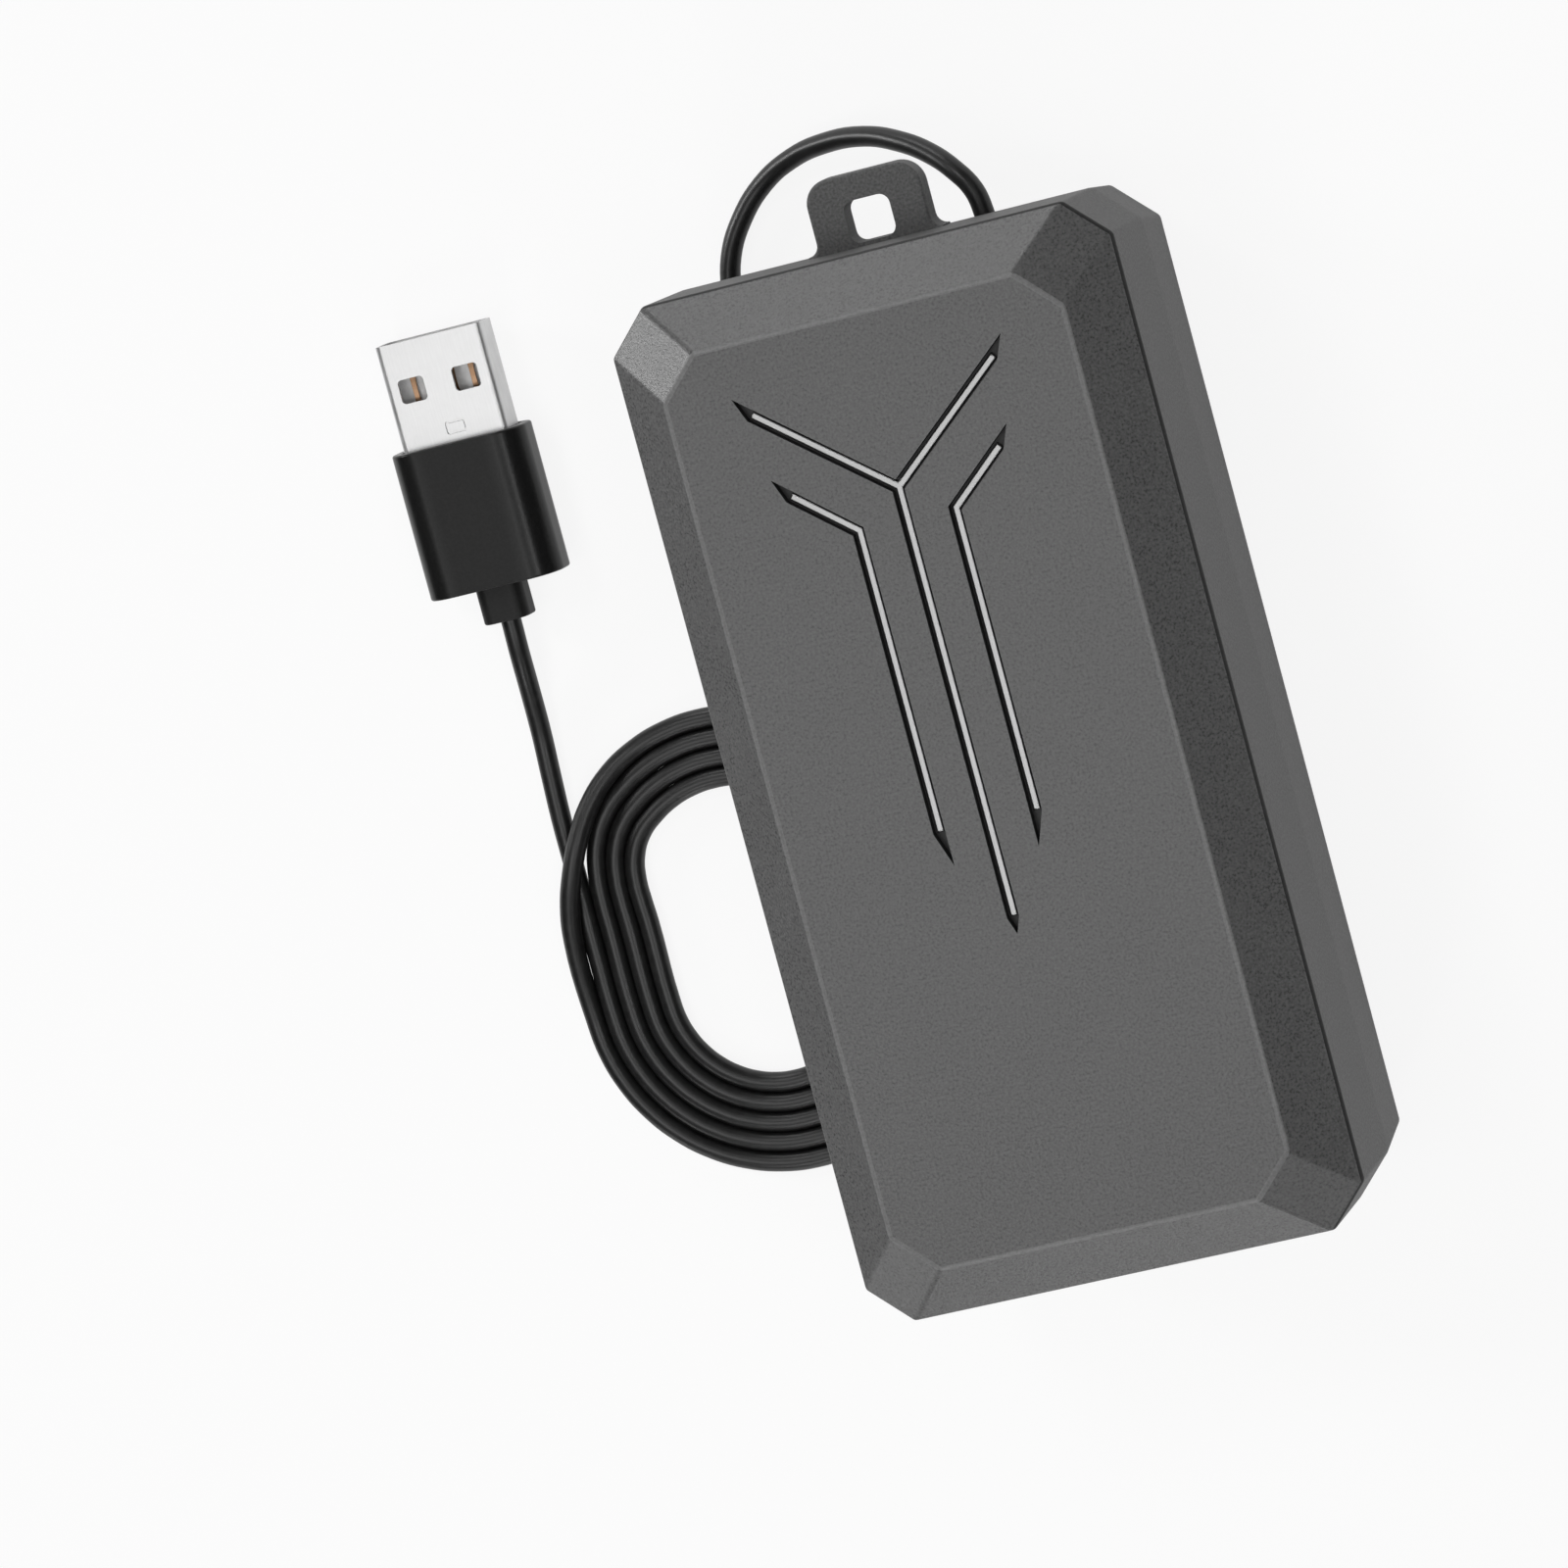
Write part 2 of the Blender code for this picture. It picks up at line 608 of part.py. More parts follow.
def make_rear_cover(material):
    inner_rim = (WALL, inner_cut(WALL), Z_SEAM - GAP)
    inner_ridge = (WALL + RIDGE_INSET, inner_cut(WALL), Z_RIDGE)
    inner_floor = (WALL + TAPER_TOTAL, inner_cut(WALL), Z_FLOOR)
    levels = (
        (TAPER_TOTAL + REAR_CHAMFER, CORNER_CUT, Z_REAR),
        (TAPER_TOTAL, CORNER_CUT, Z_TAPER),
        (RIDGE_INSET, CORNER_CUT, Z_RIDGE),
        (0, CORNER_CUT, Z_SEAM - GAP),
        inner_rim,
        inner_ridge,
        inner_floor,
    )
    cover = part("rear_cover", case_loft(levels), material)
    sunk = Z_FLOOR - WALL / 2
    boss_top = Z_SEAM - GAP - SCREW_BITE
    bosses = [rod(BOSS_RADIUS, (x, y, sunk), boss_top) for x, y in four_corners(SCREW_X, SCREW_Y)]
    fuse(cover, *bosses)
    pin_top = Z_CHASSIS_TOP + GAP + BUSH_FLANGE
    fuse(cover, *[rod(BUSH_PIN_RADIUS, (x, y, sunk), pin_top, steps=SMALL_ROUND) for x, y in BUSH_PLACES])
    post_y = BOARD_START_Y + BOARD_SCREW_FROM_EDGE
    for side in (-1, 1):
        post = (side * BOARD_SCREW_X, post_y, sunk)
        fuse(cover, rod(BOARD_POST_RADIUS, post, Z_BOARD - GAP, steps=SMALL_ROUND))
    rim_inner = FELT_RADIUS + GAP
    rim = [
        (rim_inner, sunk),
        (rim_inner + FELT_RIM_WIDTH, sunk),
        (rim_inner + FELT_RIM_WIDTH, Z_FLOOR + FELT_THICKNESS),
        (rim_inner, Z_FLOOR + FELT_THICKNESS),
    ]
    fuse(cover, turned(rim, (FELT_X, FELT_Y, 0)))
    fuse(cover, hanger_tab())
    outlet_tube = OUTLET_POCKET_RADIUS + OUTLET_TUBE_WALL
    tube_start = (OUTLET_X, -HALF_LENGTH + TAPER_TOTAL + WALL / 2, Z_OUTLET)
    fuse(cover, rod(outlet_tube, tube_start, OUTLET_TUBE_END_Y, "Y"))
    cut(cover, hanger_hole())
    pocket_start = (OUTLET_X, -HALF_LENGTH - WALL, Z_OUTLET)
    cut(cover, rod(OUTLET_POCKET_RADIUS, pocket_start, OUTLET_FLOOR_Y, "Y"))
    cut(cover, rod(NIPPLE_RADIUS + GAP, pocket_start, OUTLET_TUBE_END_Y + WALL, "Y"))
    grommet_start = (GROMMET_X, END_WALL_Y - WALL, Z_GROMMET)
    cut(cover, rod(GROMMET_NECK_RADIUS + GAP, grommet_start, HALF_LENGTH + WALL, "Y"))
    below = Z_REAR - WALL
    for x, y in four_corners(SCREW_X, SCREW_Y):
        cut(cover, rod(SCREW_HEAD_RADIUS + GAP, (x, y, below), Z_REAR + SCREW_SEAT))
        cut(cover, rod(SHANK_HOLE, (x, y, below), boss_top + WALL, steps=SMALL_ROUND))
    for x, y in four_corners(FOOT_X, FOOT_Y):
        cut(cover, rod(FOOT_STEM_RADIUS + GAP, (x, y, below), Z_FLOOR + WALL, steps=SMALL_ROUND))
    for side in (-1, 1):
        pilot = (side * BOARD_SCREW_X, post_y, Z_FLOOR + GAP)
        cut(cover, rod(BOARD_SCREW_RADIUS + GAP, pilot, Z_BOARD + WALL, steps=SMALL_ROUND))
    for number in range(INTAKE_HOLES):
        turn = 2 * pi * number / INTAKE_HOLES
        hole = (FELT_X + INTAKE_RING_RADIUS * cos(turn), FELT_Y + INTAKE_RING_RADIUS * sin(turn), below)
        cut(cover, rod(INTAKE_HOLE_RADIUS, hole, Z_FLOOR + WALL, steps=8))


def hanger_tab():
    """The tab's outline: flared foot on the end wall, straight sides, round top corners."""
    half = TAB_WIDTH / 2
    root_y = HALF_LENGTH - WALL / 2 - RIDGE_INSET
    wall_y = HALF_LENGTH
    top_y = HALF_LENGTH + TAB_REACH
    right = [(half + TAB_FOOT_FLARE, root_y), (half + TAB_FOOT_FLARE, wall_y)]
    right += arc_points((half + TAB_FOOT_FLARE, wall_y + TAB_FOOT_FLARE), TAB_FOOT_FLARE, 270, 180, 3)[1:]
    right += arc_points((half - TAB_CORNER, top_y - TAB_CORNER), TAB_CORNER, 0, 90, 5)
    left = [(-x, y) for x, y in reversed(right)]
    top = Z_RIDGE + TAB_ABOVE_RIDGE
    return prism(right + left, top - TAB_THICKNESS, top)


def hanger_hole():
    outline = rounded_rectangle(TAB_HOLE_WIDTH / 2, TAB_HOLE_HEIGHT / 2, TAB_HOLE_CORNER)
    middle = HALF_LENGTH + TAB_HOLE_RISE + TAB_HOLE_HEIGHT / 2
    top = Z_RIDGE + TAB_ABOVE_RIDGE
    return moved(prism(outline, top - 2 * TAB_THICKNESS, top + TAB_THICKNESS), (0, middle, 0))


def make_front_cover(material):
    inner_inset = LIP_INSET + LIP_WIDTH
    ceiling_inset = inner_inset + BEVEL_INSET * (BEVEL_DEPTH - WALL) / BEVEL_DEPTH
    levels = (
        (BEVEL_INSET, CORNER_CUT, Z_FRONT),
        (0, CORNER_CUT, Z_SEAM),
        (LIP_INSET, inner_cut(LIP_INSET), Z_SEAM),
        (LIP_INSET, inner_cut(LIP_INSET), Z_SEAM - LIP_HEIGHT),
        (inner_inset, inner_cut(inner_inset), Z_SEAM - LIP_HEIGHT),
        (inner_inset, inner_cut(inner_inset), Z_SEAM),
        (ceiling_inset, inner_cut(inner_inset), Z_CEILING),
    )
    cover = part("front_cover", case_loft(levels), material)
    post_foot = Z_SEAM - SCREW_BITE
    for x, y in four_corners(SCREW_X, SCREW_Y):
        fuse(cover, rod(BOSS_RADIUS, (x, y, post_foot), Z_CEILING + WALL / 2))
        cut(cover, rod(SHANK_HOLE, (x, y, post_foot - WALL), Z_SEAM + GAP, steps=SMALL_ROUND))
    half = GROOVE_WIDTH / 2
    floor = Z_FRONT - GROOVE_DEPTH
    cut(cover, prism(y_outline(half, True), floor, Z_FRONT + WALL))
    groove = side_outline(half, True)
    for outline in (groove, mirrored(groove)):
        cut(cover, prism(outline, floor, Z_FRONT + WALL))


def make_trim(material):
    half = TRIM_WIDTH / 2
    low = Z_FRONT - GROOVE_DEPTH + FILM_GAP
    high = low + TRIM_HEIGHT
    part("trim_centre", prism(y_outline(half, False), low, high), material)
    strip = side_outline(half, False)
    part("trim_left", prism(mirrored(strip), low, high), material)
    part("trim_right", prism(strip, low, high), material)


def make_case_screws(material):
    seat = Z_REAR + SCREW_SEAT - GAP
    tip = Z_SEAM - GAP
    profile = [
        (0, seat - SCREW_HEAD_HEIGHT),
        (SCREW_HEAD_RADIUS, seat - SCREW_HEAD_HEIGHT),
        (SCREW_HEAD_RADIUS, seat),
        (SCREW_SHANK_RADIUS, seat),
        (SCREW_SHANK_RADIUS, tip),
        (0, tip),
    ]
    for number, (x, y) in enumerate(four_corners(SCREW_X, SCREW_Y), 1):
        part(f"case_screw_{number}", turned(profile, (x, y, 0), steps=SMALL_ROUND), material)


def make_feet(material):
    shoulder = Z_REAR - FILM_GAP
    bulb = Z_FLOOR + FILM_GAP
    profile = [
        (0, 0),
        (FOOT_RADIUS - WALL / 4, 0),
        (FOOT_RADIUS, shoulder * 0.2),
        (FOOT_RADIUS, shoulder),
        (FOOT_STEM_RADIUS, shoulder),
        (FOOT_STEM_RADIUS, bulb),
        (FOOT_BULB_RADIUS, bulb),
        (FOOT_STEM_RADIUS, bulb + FOOT_BULB_HEIGHT),
        (0, bulb + FOOT_BULB_HEIGHT),
    ]
    for number, (x, y) in enumerate(four_corners(FOOT_X, FOOT_Y), 1):
        part(f"foot_{number}", turned(profile, (x, y, 0)), material)


def make_felt(material):
    pad = rod(FELT_RADIUS, (FELT_X, FELT_Y, Z_FLOOR + FILM_GAP), Z_FLOOR + FELT_THICKNESS)
    part("intake_felt", pad, material)


def make_chassis(material):
    plate = box(
        (-CHASSIS_HALF_WIDTH, CHASSIS_FRONT_Y, Z_CHASSIS), (CHASSIS_HALF_WIDTH, CHASSIS_BACK_Y, Z_CHASSIS_TOP)
    )
    chassis = part("chassis", plate, material)
    tongue = box(
        (PIVOT_X - HUB_RADIUS - CHASSIS_MARGIN, CHASSIS_TIP_Y, Z_CHASSIS),
        (PIVOT_X + HUB_RADIUS + CHASSIS_MARGIN, CHASSIS_FRONT_Y + WALL, Z_CHASSIS_TOP),
    )
    fuse(chassis, tongue)
    hub_foot = Z_DRIVE - HUB_HALF_HEIGHT - GAP
    fuse(chassis, rod(HUB_RADIUS, (PIVOT_X, PIVOT_Y, Z_CHASSIS + WALL / 4), hub_foot))
    core_foot = Z_DRIVE - CORE_THICKNESS / 2 - GAP
    for x, y in core_columns():
        fuse(chassis, rod(COLUMN_RADIUS, (x, y, Z_CHASSIS + WALL / 4), core_foot, steps=SMALL_ROUND))
    pin_hole = (PIVOT_X, PIVOT_Y, Z_CHASSIS - WALL)
    cut(chassis, rod(PIN_RADIUS + BEARING_GAP, pin_hole, hub_foot + WALL))
    for x, y in BUSH_PLACES:
        cut(chassis, rod(BUSH_NECK_RADIUS + GAP, (x, y, Z_CHASSIS - WALL), Z_CHASSIS_TOP + WALL))
    for x, y in core_columns()[:2]:
        cut(chassis, rod(SHANK_HOLE, (x, y, Z_CHASSIS_TOP), core_foot + WALL, steps=SMALL_ROUND))


def core_columns():
    """Chassis columns under the core: two under the yoke, which take the screws, and two under the poles."""
    yoke_y = YOKE_Y + CORE_YOKE / 2
    pole_y = POLE_Y + CORE_OUTER_LEG / 2
    return [(PIVOT_X + side * COLUMN_X, y) for y in (yoke_y, pole_y) for side in (-1, 1)]


def make_bushes(material):
    inner = BUSH_PIN_RADIUS + GAP
    low = Z_CHASSIS - GAP
    high = Z_CHASSIS_TOP + GAP
    profile = [
        (inner, low - BUSH_FLANGE),
        (BUSH_RADIUS, low - BUSH_FLANGE),
        (BUSH_RADIUS, low),
        (BUSH_NECK_RADIUS, low),
        (BUSH_NECK_RADIUS, high),
        (BUSH_RADIUS, high),
        (BUSH_RADIUS, high + BUSH_FLANGE),
        (inner, high + BUSH_FLANGE),
    ]
    for number, (x, y) in enumerate(BUSH_PLACES, 1):
        part(f"damper_bush_{number}", turned(profile, (x, y, 0), steps=SMALL_ROUND), material)


def make_core(material):
    """E-shaped stack of steel sheets with its three poles towards the magnet."""
    leg = CORE_LEG_WIDTH / 2
    window = leg + CORE_WINDOW
    right = [
        (leg, POLE_Y),
        (leg, YOKE_Y),
        (window, YOKE_Y),
        (window, POLE_Y),
        (CORE_HALF_WIDTH, POLE_Y),
        (CORE_HALF_WIDTH, CORE_BACK_Y),
    ]
    outline = right + [(-x, y) for x, y in reversed(right)]
    half = CORE_THICKNESS / 2
    stack = moved(prism(outline, Z_DRIVE - half, Z_DRIVE + half), (PIVOT_X, 0, 0))
    core = part("magnet_core", stack, material)
    for x, y in core_columns()[:2]:
        hole = (x, y, Z_DRIVE - CORE_THICKNESS)
        cut(core, rod(SHANK_HOLE, hole, Z_DRIVE + CORE_THICKNESS, steps=SMALL_ROUND))


def make_core_screws(material):
    seat = Z_DRIVE + CORE_THICKNESS / 2 + GAP
    tip = Z_CHASSIS_TOP + GAP
    profile = [
        (0, tip),
        (SCREW_SHANK_RADIUS, tip),
        (SCREW_SHANK_RADIUS, seat),
        (COLUMN_RADIUS, seat),
        (COLUMN_RADIUS, seat + SCREW_HEAD_HEIGHT),
        (0, seat + SCREW_HEAD_HEIGHT),
    ]
    for number, (x, y) in enumerate(core_columns()[:2], 1):
        part(f"core_screw_{number}", turned(profile, (x, y, 0), steps=SMALL_ROUND), material)


def upright_ring(half_x, half_z, hole_x, hole_z, corner, start, end):
    """A rounded rectangular ring round the core's middle leg, from start to end along Y."""
    lay = Matrix.Translation((PIVOT_X, 0, Z_DRIVE)) @ Matrix.Rotation(pi / 2, 4, "X")
    outer = prism(rounded_rectangle(half_x, half_z, corner), -end, -start)
    outer.transform(lay)
    hole = prism(rounded_rectangle(hole_x, hole_z, corner / 4), -end - WALL, -start + WALL)
    hole.transform(lay)
    return outer, hole


def make_coil(bobbin_material, winding_material):
    hole_x = CORE_LEG_WIDTH / 2 + GAP
    hole_z = CORE_THICKNESS / 2 + GAP
    tube_x = hole_x + BOBBIN_WALL
    tube_z = hole_z + BOBBIN_WALL
    flange_x = tube_x + WINDING_BUILD + GAP
    flange_z = tube_z + WINDING_BUILD + GAP
    start = POLE_Y + GAP
    end = YOKE_Y - GAP
    corner = BOBBIN_WALL
    body, hole = upright_ring(tube_x, tube_z, hole_x, hole_z, corner, start + corner / 2, end - corner / 2)
    near, _ = upright_ring(flange_x, flange_z, hole_x, hole_z, corner, start, start + BOBBIN_FLANGE)
    far, _ = upright_ring(flange_x, flange_z, hole_x, hole_z, corner, end - BOBBIN_FLANGE, end)
    bobbin = part("coil_bobbin", body, bobbin_material)
    fuse(bobbin, near, far)
    cut(bobbin, hole)
    around, core_space = upright_ring(
        tube_x + WINDING_BUILD,
        tube_z + WINDING_BUILD,
        tube_x + GAP,
        tube_z + GAP,
        WINDING_BUILD,
        start + BOBBIN_FLANGE + GAP,
        end - BOBBIN_FLANGE - GAP,
    )
    cut(part("coil_winding", around, winding_material), core_space)


def pivot_point():
    return (PIVOT_X, PIVOT_Y, Z_DRIVE)


def make_arm(arm_material, magnet_material, pin_material):
    hub = rod(HUB_RADIUS, (PIVOT_X, PIVOT_Y, Z_DRIVE - HUB_HALF_HEIGHT), Z_DRIVE + HUB_HALF_HEIGHT)
    arm = part("swing_arm", hub, arm_material, pivot_point())
    half = ARM_WIDTH / 2
    bar = box(
        (PIVOT_X - half, PIVOT_Y + HUB_RADIUS / 2, Z_DRIVE - ARM_HEIGHT / 2),
        (PIVOT_X + half, ARM_TIP_Y - ARM_HEAD_THICKNESS / 2, Z_DRIVE + ARM_HEIGHT / 2),
    )
    head = box(
        (PIVOT_X - MAGNET_WIDTH / 2, ARM_TIP_Y - ARM_HEAD_THICKNESS, Z_DRIVE - MAGNET_HEIGHT / 2),
        (PIVOT_X + MAGNET_WIDTH / 2, ARM_TIP_Y, Z_DRIVE + MAGNET_HEIGHT / 2),
    )
    fuse(arm, bar, head)
    bore = (PIVOT_X, PIVOT_Y, Z_DRIVE - 2 * HUB_HALF_HEIGHT)
    cut(arm, rod(PIN_RADIUS + BEARING_GAP, bore, Z_DRIVE + 2 * HUB_HALF_HEIGHT))
    stud_hole = (PIVOT_X - ARM_WIDTH, DIAPHRAGM_Y, Z_DRIVE)
    cut(arm, rod(STUD_RADIUS + GAP, stud_hole, PIVOT_X + ARM_WIDTH, "X", SMALL_ROUND))
    magnet = box(
        (PIVOT_X - MAGNET_WIDTH / 2, MAGNET_START_Y, Z_DRIVE - MAGNET_HEIGHT / 2),
        (PIVOT_X + MAGNET_WIDTH / 2, MAGNET_START_Y + MAGNET_LENGTH, Z_DRIVE + MAGNET_HEIGHT / 2),
    )
    part("arm_magnet", magnet, magnet_material, pivot_point())
    head_foot = Z_DRIVE + HUB_HALF_HEIGHT + GAP
    pin = [
        (0, Z_CHASSIS),
        (PIN_RADIUS, Z_CHASSIS),
        (PIN_RADIUS, head_foot),
        (PIN_HEAD_RADIUS, head_foot),
        (PIN_HEAD_RADIUS, head_foot + PIN_HEAD_HEIGHT),
        (0, head_foot + PIN_HEAD_HEIGHT),
    ]
    part("pivot_pin", turned(pin, (PIVOT_X, PIVOT_Y, 0)), pin_material)


def make_diaphragm(rubber, stud_material):
    """A rubber cup: clamped flange, sloping skin and a thick centre that the stud grips, turned round X."""
    centre = (0, DIAPHRAGM_Y, Z_DRIVE)
    bend = DIAPHRAGM_RADIUS * 0.72
    hole = STUD_RADIUS + GAP
    profile = [
        (hole, DISC_X),
        (DIAPHRAGM_DISC_RADIUS - DIAPHRAGM_SKIN, DISC_X),
        (bend - DIAPHRAGM_SKIN, FLANGE_X),
        (DIAPHRAGM_RADIUS, FLANGE_X),
        (DIAPHRAGM_RADIUS, FLANGE_X + DIAPHRAGM_FLANGE),
        (bend, FLANGE_X + DIAPHRAGM_FLANGE),
        (DIAPHRAGM_DISC_RADIUS, DISC_X + DIAPHRAGM_DISC),
        (hole, DISC_X + DIAPHRAGM_DISC),
    ]
    part("diaphragm", turned(profile, centre, "X"), rubber)
    plate = DISC_X - GAP
    head = PIVOT_X + ARM_WIDTH / 2 + GAP
    stud = [
        (0, plate - STUD_PLATE),
        (STUD_PLATE_RADIUS - GAP, plate - STUD_PLATE),
        (STUD_PLATE_RADIUS - GAP, plate),
        (STUD_RADIUS, plate),
        (STUD_RADIUS, head),
        (STUD_HEAD_RADIUS, head),
        (STUD_HEAD_RADIUS - GAP, head + STUD_HEAD),
        (0, head + STUD_HEAD),
    ]
    part("diaphragm_stud", turned(stud, centre, "X", SMALL_ROUND), stud_material, pivot_point())


def head_block(start, end):
    """A slab of the pump head's stack between two X positions."""
    return box(
        (end, HEAD_FRONT_Y, Z_DRIVE - HEAD_HALF_HEIGHT),
        (start, HEAD_BACK_Y, Z_DRIVE + HEAD_HALF_HEIGHT),
    )


def head_screw_places():
    return [(DIAPHRAGM_Y + side * HEAD_SCREW_Y, Z_DRIVE + side * HEAD_SCREW_Z) for side in (-1, 1)]


def cut_screw_holes(target):
    start = CLAMP_X + 2 * CLAMP_THICKNESS
    for y, z in head_screw_places():
        cut(target, rod(SHANK_HOLE, (start, y, z), COVER_BACK_X - WALL, "X", SMALL_ROUND))


def make_head(plastic, rubber, screw_material):
    clamp = part("clamp_plate", head_block(CLAMP_X + CLAMP_THICKNESS, CLAMP_X), plastic)
    window = DIAPHRAGM_RADIUS * 0.72 + GAP
    cut(clamp, rod(window, (CLAMP_X - WALL, DIAPHRAGM_Y, Z_DRIVE), CLAMP_X + 2 * CLAMP_THICKNESS, "X"))
    cut_screw_holes(clamp)

    chamber = part("pump_chamber", head_block(CHAMBER_X, CHAMBER_BACK_X), plastic)
    cavity = (CHAMBER_X - CHAMBER_DEPTH, DIAPHRAGM_Y, Z_DRIVE)
    cut(chamber, rod(CHAMBER_RADIUS, cavity, CHAMBER_X + WALL, "X"))
    behind = CHAMBER_BACK_X - WALL
    inside = CHAMBER_X - CHAMBER_DEPTH / 2
    cut(chamber, rod(FLAP_POCKET_RADIUS, (behind, DIAPHRAGM_Y, Z_INTAKE), inside, "X"))
    cut(chamber, rod(PORT_RADIUS, (behind, DIAPHRAGM_Y, Z_OUTLET), inside, "X", SMALL_ROUND))
    cut_screw_holes(chamber)

    plate = part("valve_plate", head_block(VALVE_X, VALVE_X - VALVE_PLATE), plastic)
    for z in (Z_INTAKE, Z_OUTLET):
        port = (VALVE_X + WALL, DIAPHRAGM_Y, z)
        cut(plate, rod(PORT_RADIUS, port, VALVE_X - VALVE_PLATE - WALL, "X", SMALL_ROUND))
    cut_screw_holes(plate)

    make_head_cover(plastic)
    make_flap("intake_flap", rubber, VALVE_X + FILM_GAP, Z_INTAKE)
    make_flap("outlet_flap", rubber, VALVE_X - VALVE_PLATE - FILM_GAP - FLAP_THICKNESS, Z_OUTLET)

    head = CLAMP_X + CLAMP_THICKNESS + GAP
    tip = COVER_BACK_X + WALL
    profile = [
        (0, tip),
        (SCREW_SHANK_RADIUS, tip),
        (SCREW_SHANK_RADIUS, head),
        (SCREW_HEAD_RADIUS, head),
        (SCREW_HEAD_RADIUS, head + SCREW_HEAD_HEIGHT),
        (0, head + SCREW_HEAD_HEIGHT),
    ]
    for number, (y, z) in enumerate(head_screw_places(), 1):
        part(f"head_screw_{number}", turned(profile, (0, y, z), "X", SMALL_ROUND), screw_material)


def make_head_cover(plastic):
    """The manifold: one pocket breathes the air inside the case, the other leads to the outlet hose."""
    cover = part("head_cover", head_block(COVER_X, COVER_BACK_X), plastic)
    lug = box(
        (COVER_BACK_X, LUG_Y, Z_OUTLET - LUG_HALF_HEIGHT),
        (OUTLET_X + LUG_HALF_HEIGHT, HEAD_FRONT_Y - GAP, Z_OUTLET + LUG_HALF_HEIGHT),
    )
    web = box(
        (COVER_BACK_X, HEAD_FRONT_Y - WALL, Z_OUTLET - LUG_HALF_HEIGHT),
        (COVER_X, HEAD_FRONT_Y + WALL, Z_OUTLET + LUG_HALF_HEIGHT),
    )
    spigot = nipple_profile(0, SPIGOT_LENGTH + WALL)
    barb = turned(spigot, (OUTLET_X, LUG_Y + WALL, Z_OUTLET), "Y", SMALL_ROUND)
    barb.transform(Matrix.Translation((0, 2 * (LUG_Y + WALL), 0)) @ Matrix.Scale(-1, 4, (0, 1, 0)))
    bmesh.ops.recalc_face_normals(barb, faces=barb.faces)
    fuse(cover, web, lug, barb)
    for z in (Z_INTAKE, Z_OUTLET):
        pocket = (COVER_X - HEAD_POCKET_DEPTH, DIAPHRAGM_Y, z)
        cut(cover, rod(FLAP_POCKET_RADIUS, pocket, COVER_X + WALL, "X"))
    breather = (HEAD_BORE_X, DIAPHRAGM_Y, Z_INTAKE)
    cut(cover, rod(BORE_RADIUS, breather, Z_DRIVE + 2 * HEAD_HALF_HEIGHT, "Z", SMALL_ROUND))
    turn_y = LUG_Y + LUG_LENGTH / 2
    cut(cover, rod(BORE_RADIUS, (HEAD_BORE_X, DIAPHRAGM_Y, Z_OUTLET), turn_y, "Y", SMALL_ROUND))
    crossing = (HEAD_BORE_X - BORE_RADIUS, turn_y, Z_OUTLET)
    cut(cover, rod(BORE_RADIUS, crossing, OUTLET_X + BORE_RADIUS, "X", SMALL_ROUND))
    cut(cover, rod(BORE_RADIUS, (OUTLET_X, turn_y, Z_OUTLET), LUG_Y - SPIGOT_LENGTH - WALL, "Y", SMALL_ROUND))
    cut_screw_holes(cover)


def nipple_profile(start, end):
    """Solid spigot with one barb near its end, along its own axis."""
    barb = NIPPLE_RADIUS + NIPPLE_BARB
    back = end - 3 * NIPPLE_BARB
    stem = [(0, start), (NIPPLE_RADIUS, start), (NIPPLE_RADIUS, back)]
    return stem + [(barb, back), (NIPPLE_RADIUS, end), (0, end)]


def make_flap(name, rubber, face_x, centre_z):
    """A round rubber flap that hangs from its top edge."""
    low = face_x
    disc = rod(FLAP_RADIUS, (low, DIAPHRAGM_Y, centre_z), low + FLAP_THICKNESS, "X")
    part(name, disc, rubber, (low + FLAP_THICKNESS / 2, DIAPHRAGM_Y, centre_z + FLAP_RADIUS))


def make_outlet(nipple_material, hose_material):
    mouth = -HALF_LENGTH + TAPER_TOTAL + GAP
    spigot_end = NIPPLE_SEAT_Y + NIPPLE_FLANGE + SPIGOT_LENGTH
    barb = NIPPLE_RADIUS + NIPPLE_BARB
    lead = 3 * NIPPLE_BARB
    profile = [
        (BORE_RADIUS, mouth),
        (NIPPLE_RADIUS - NIPPLE_BARB, mouth),
        (NIPPLE_RADIUS, mouth + lead),
        (NIPPLE_RADIUS, NIPPLE_SEAT_Y),
        (NIPPLE_FLANGE_RADIUS, NIPPLE_SEAT_Y),
        (NIPPLE_FLANGE_RADIUS, NIPPLE_SEAT_Y + NIPPLE_FLANGE),
        (NIPPLE_RADIUS, NIPPLE_SEAT_Y + NIPPLE_FLANGE),
        (NIPPLE_RADIUS, spigot_end - lead),
        (barb, spigot_end - lead),
        (NIPPLE_RADIUS, spigot_end),
        (BORE_RADIUS, spigot_end),
    ]
    part("outlet_nipple", turned(profile, (OUTLET_X, 0, Z_OUTLET), "Y"), nipple_material)
    start = NIPPLE_SEAT_Y + NIPPLE_FLANGE + GAP
    end = LUG_Y - GAP
    outer = HOSE_BORE + HOSE_WALL
    sleeve = [(HOSE_BORE, start), (outer, start), (outer, end), (HOSE_BORE, end)]
    part("outlet_hose", turned(sleeve, (OUTLET_X, 0, Z_OUTLET), "Y"), hose_material)


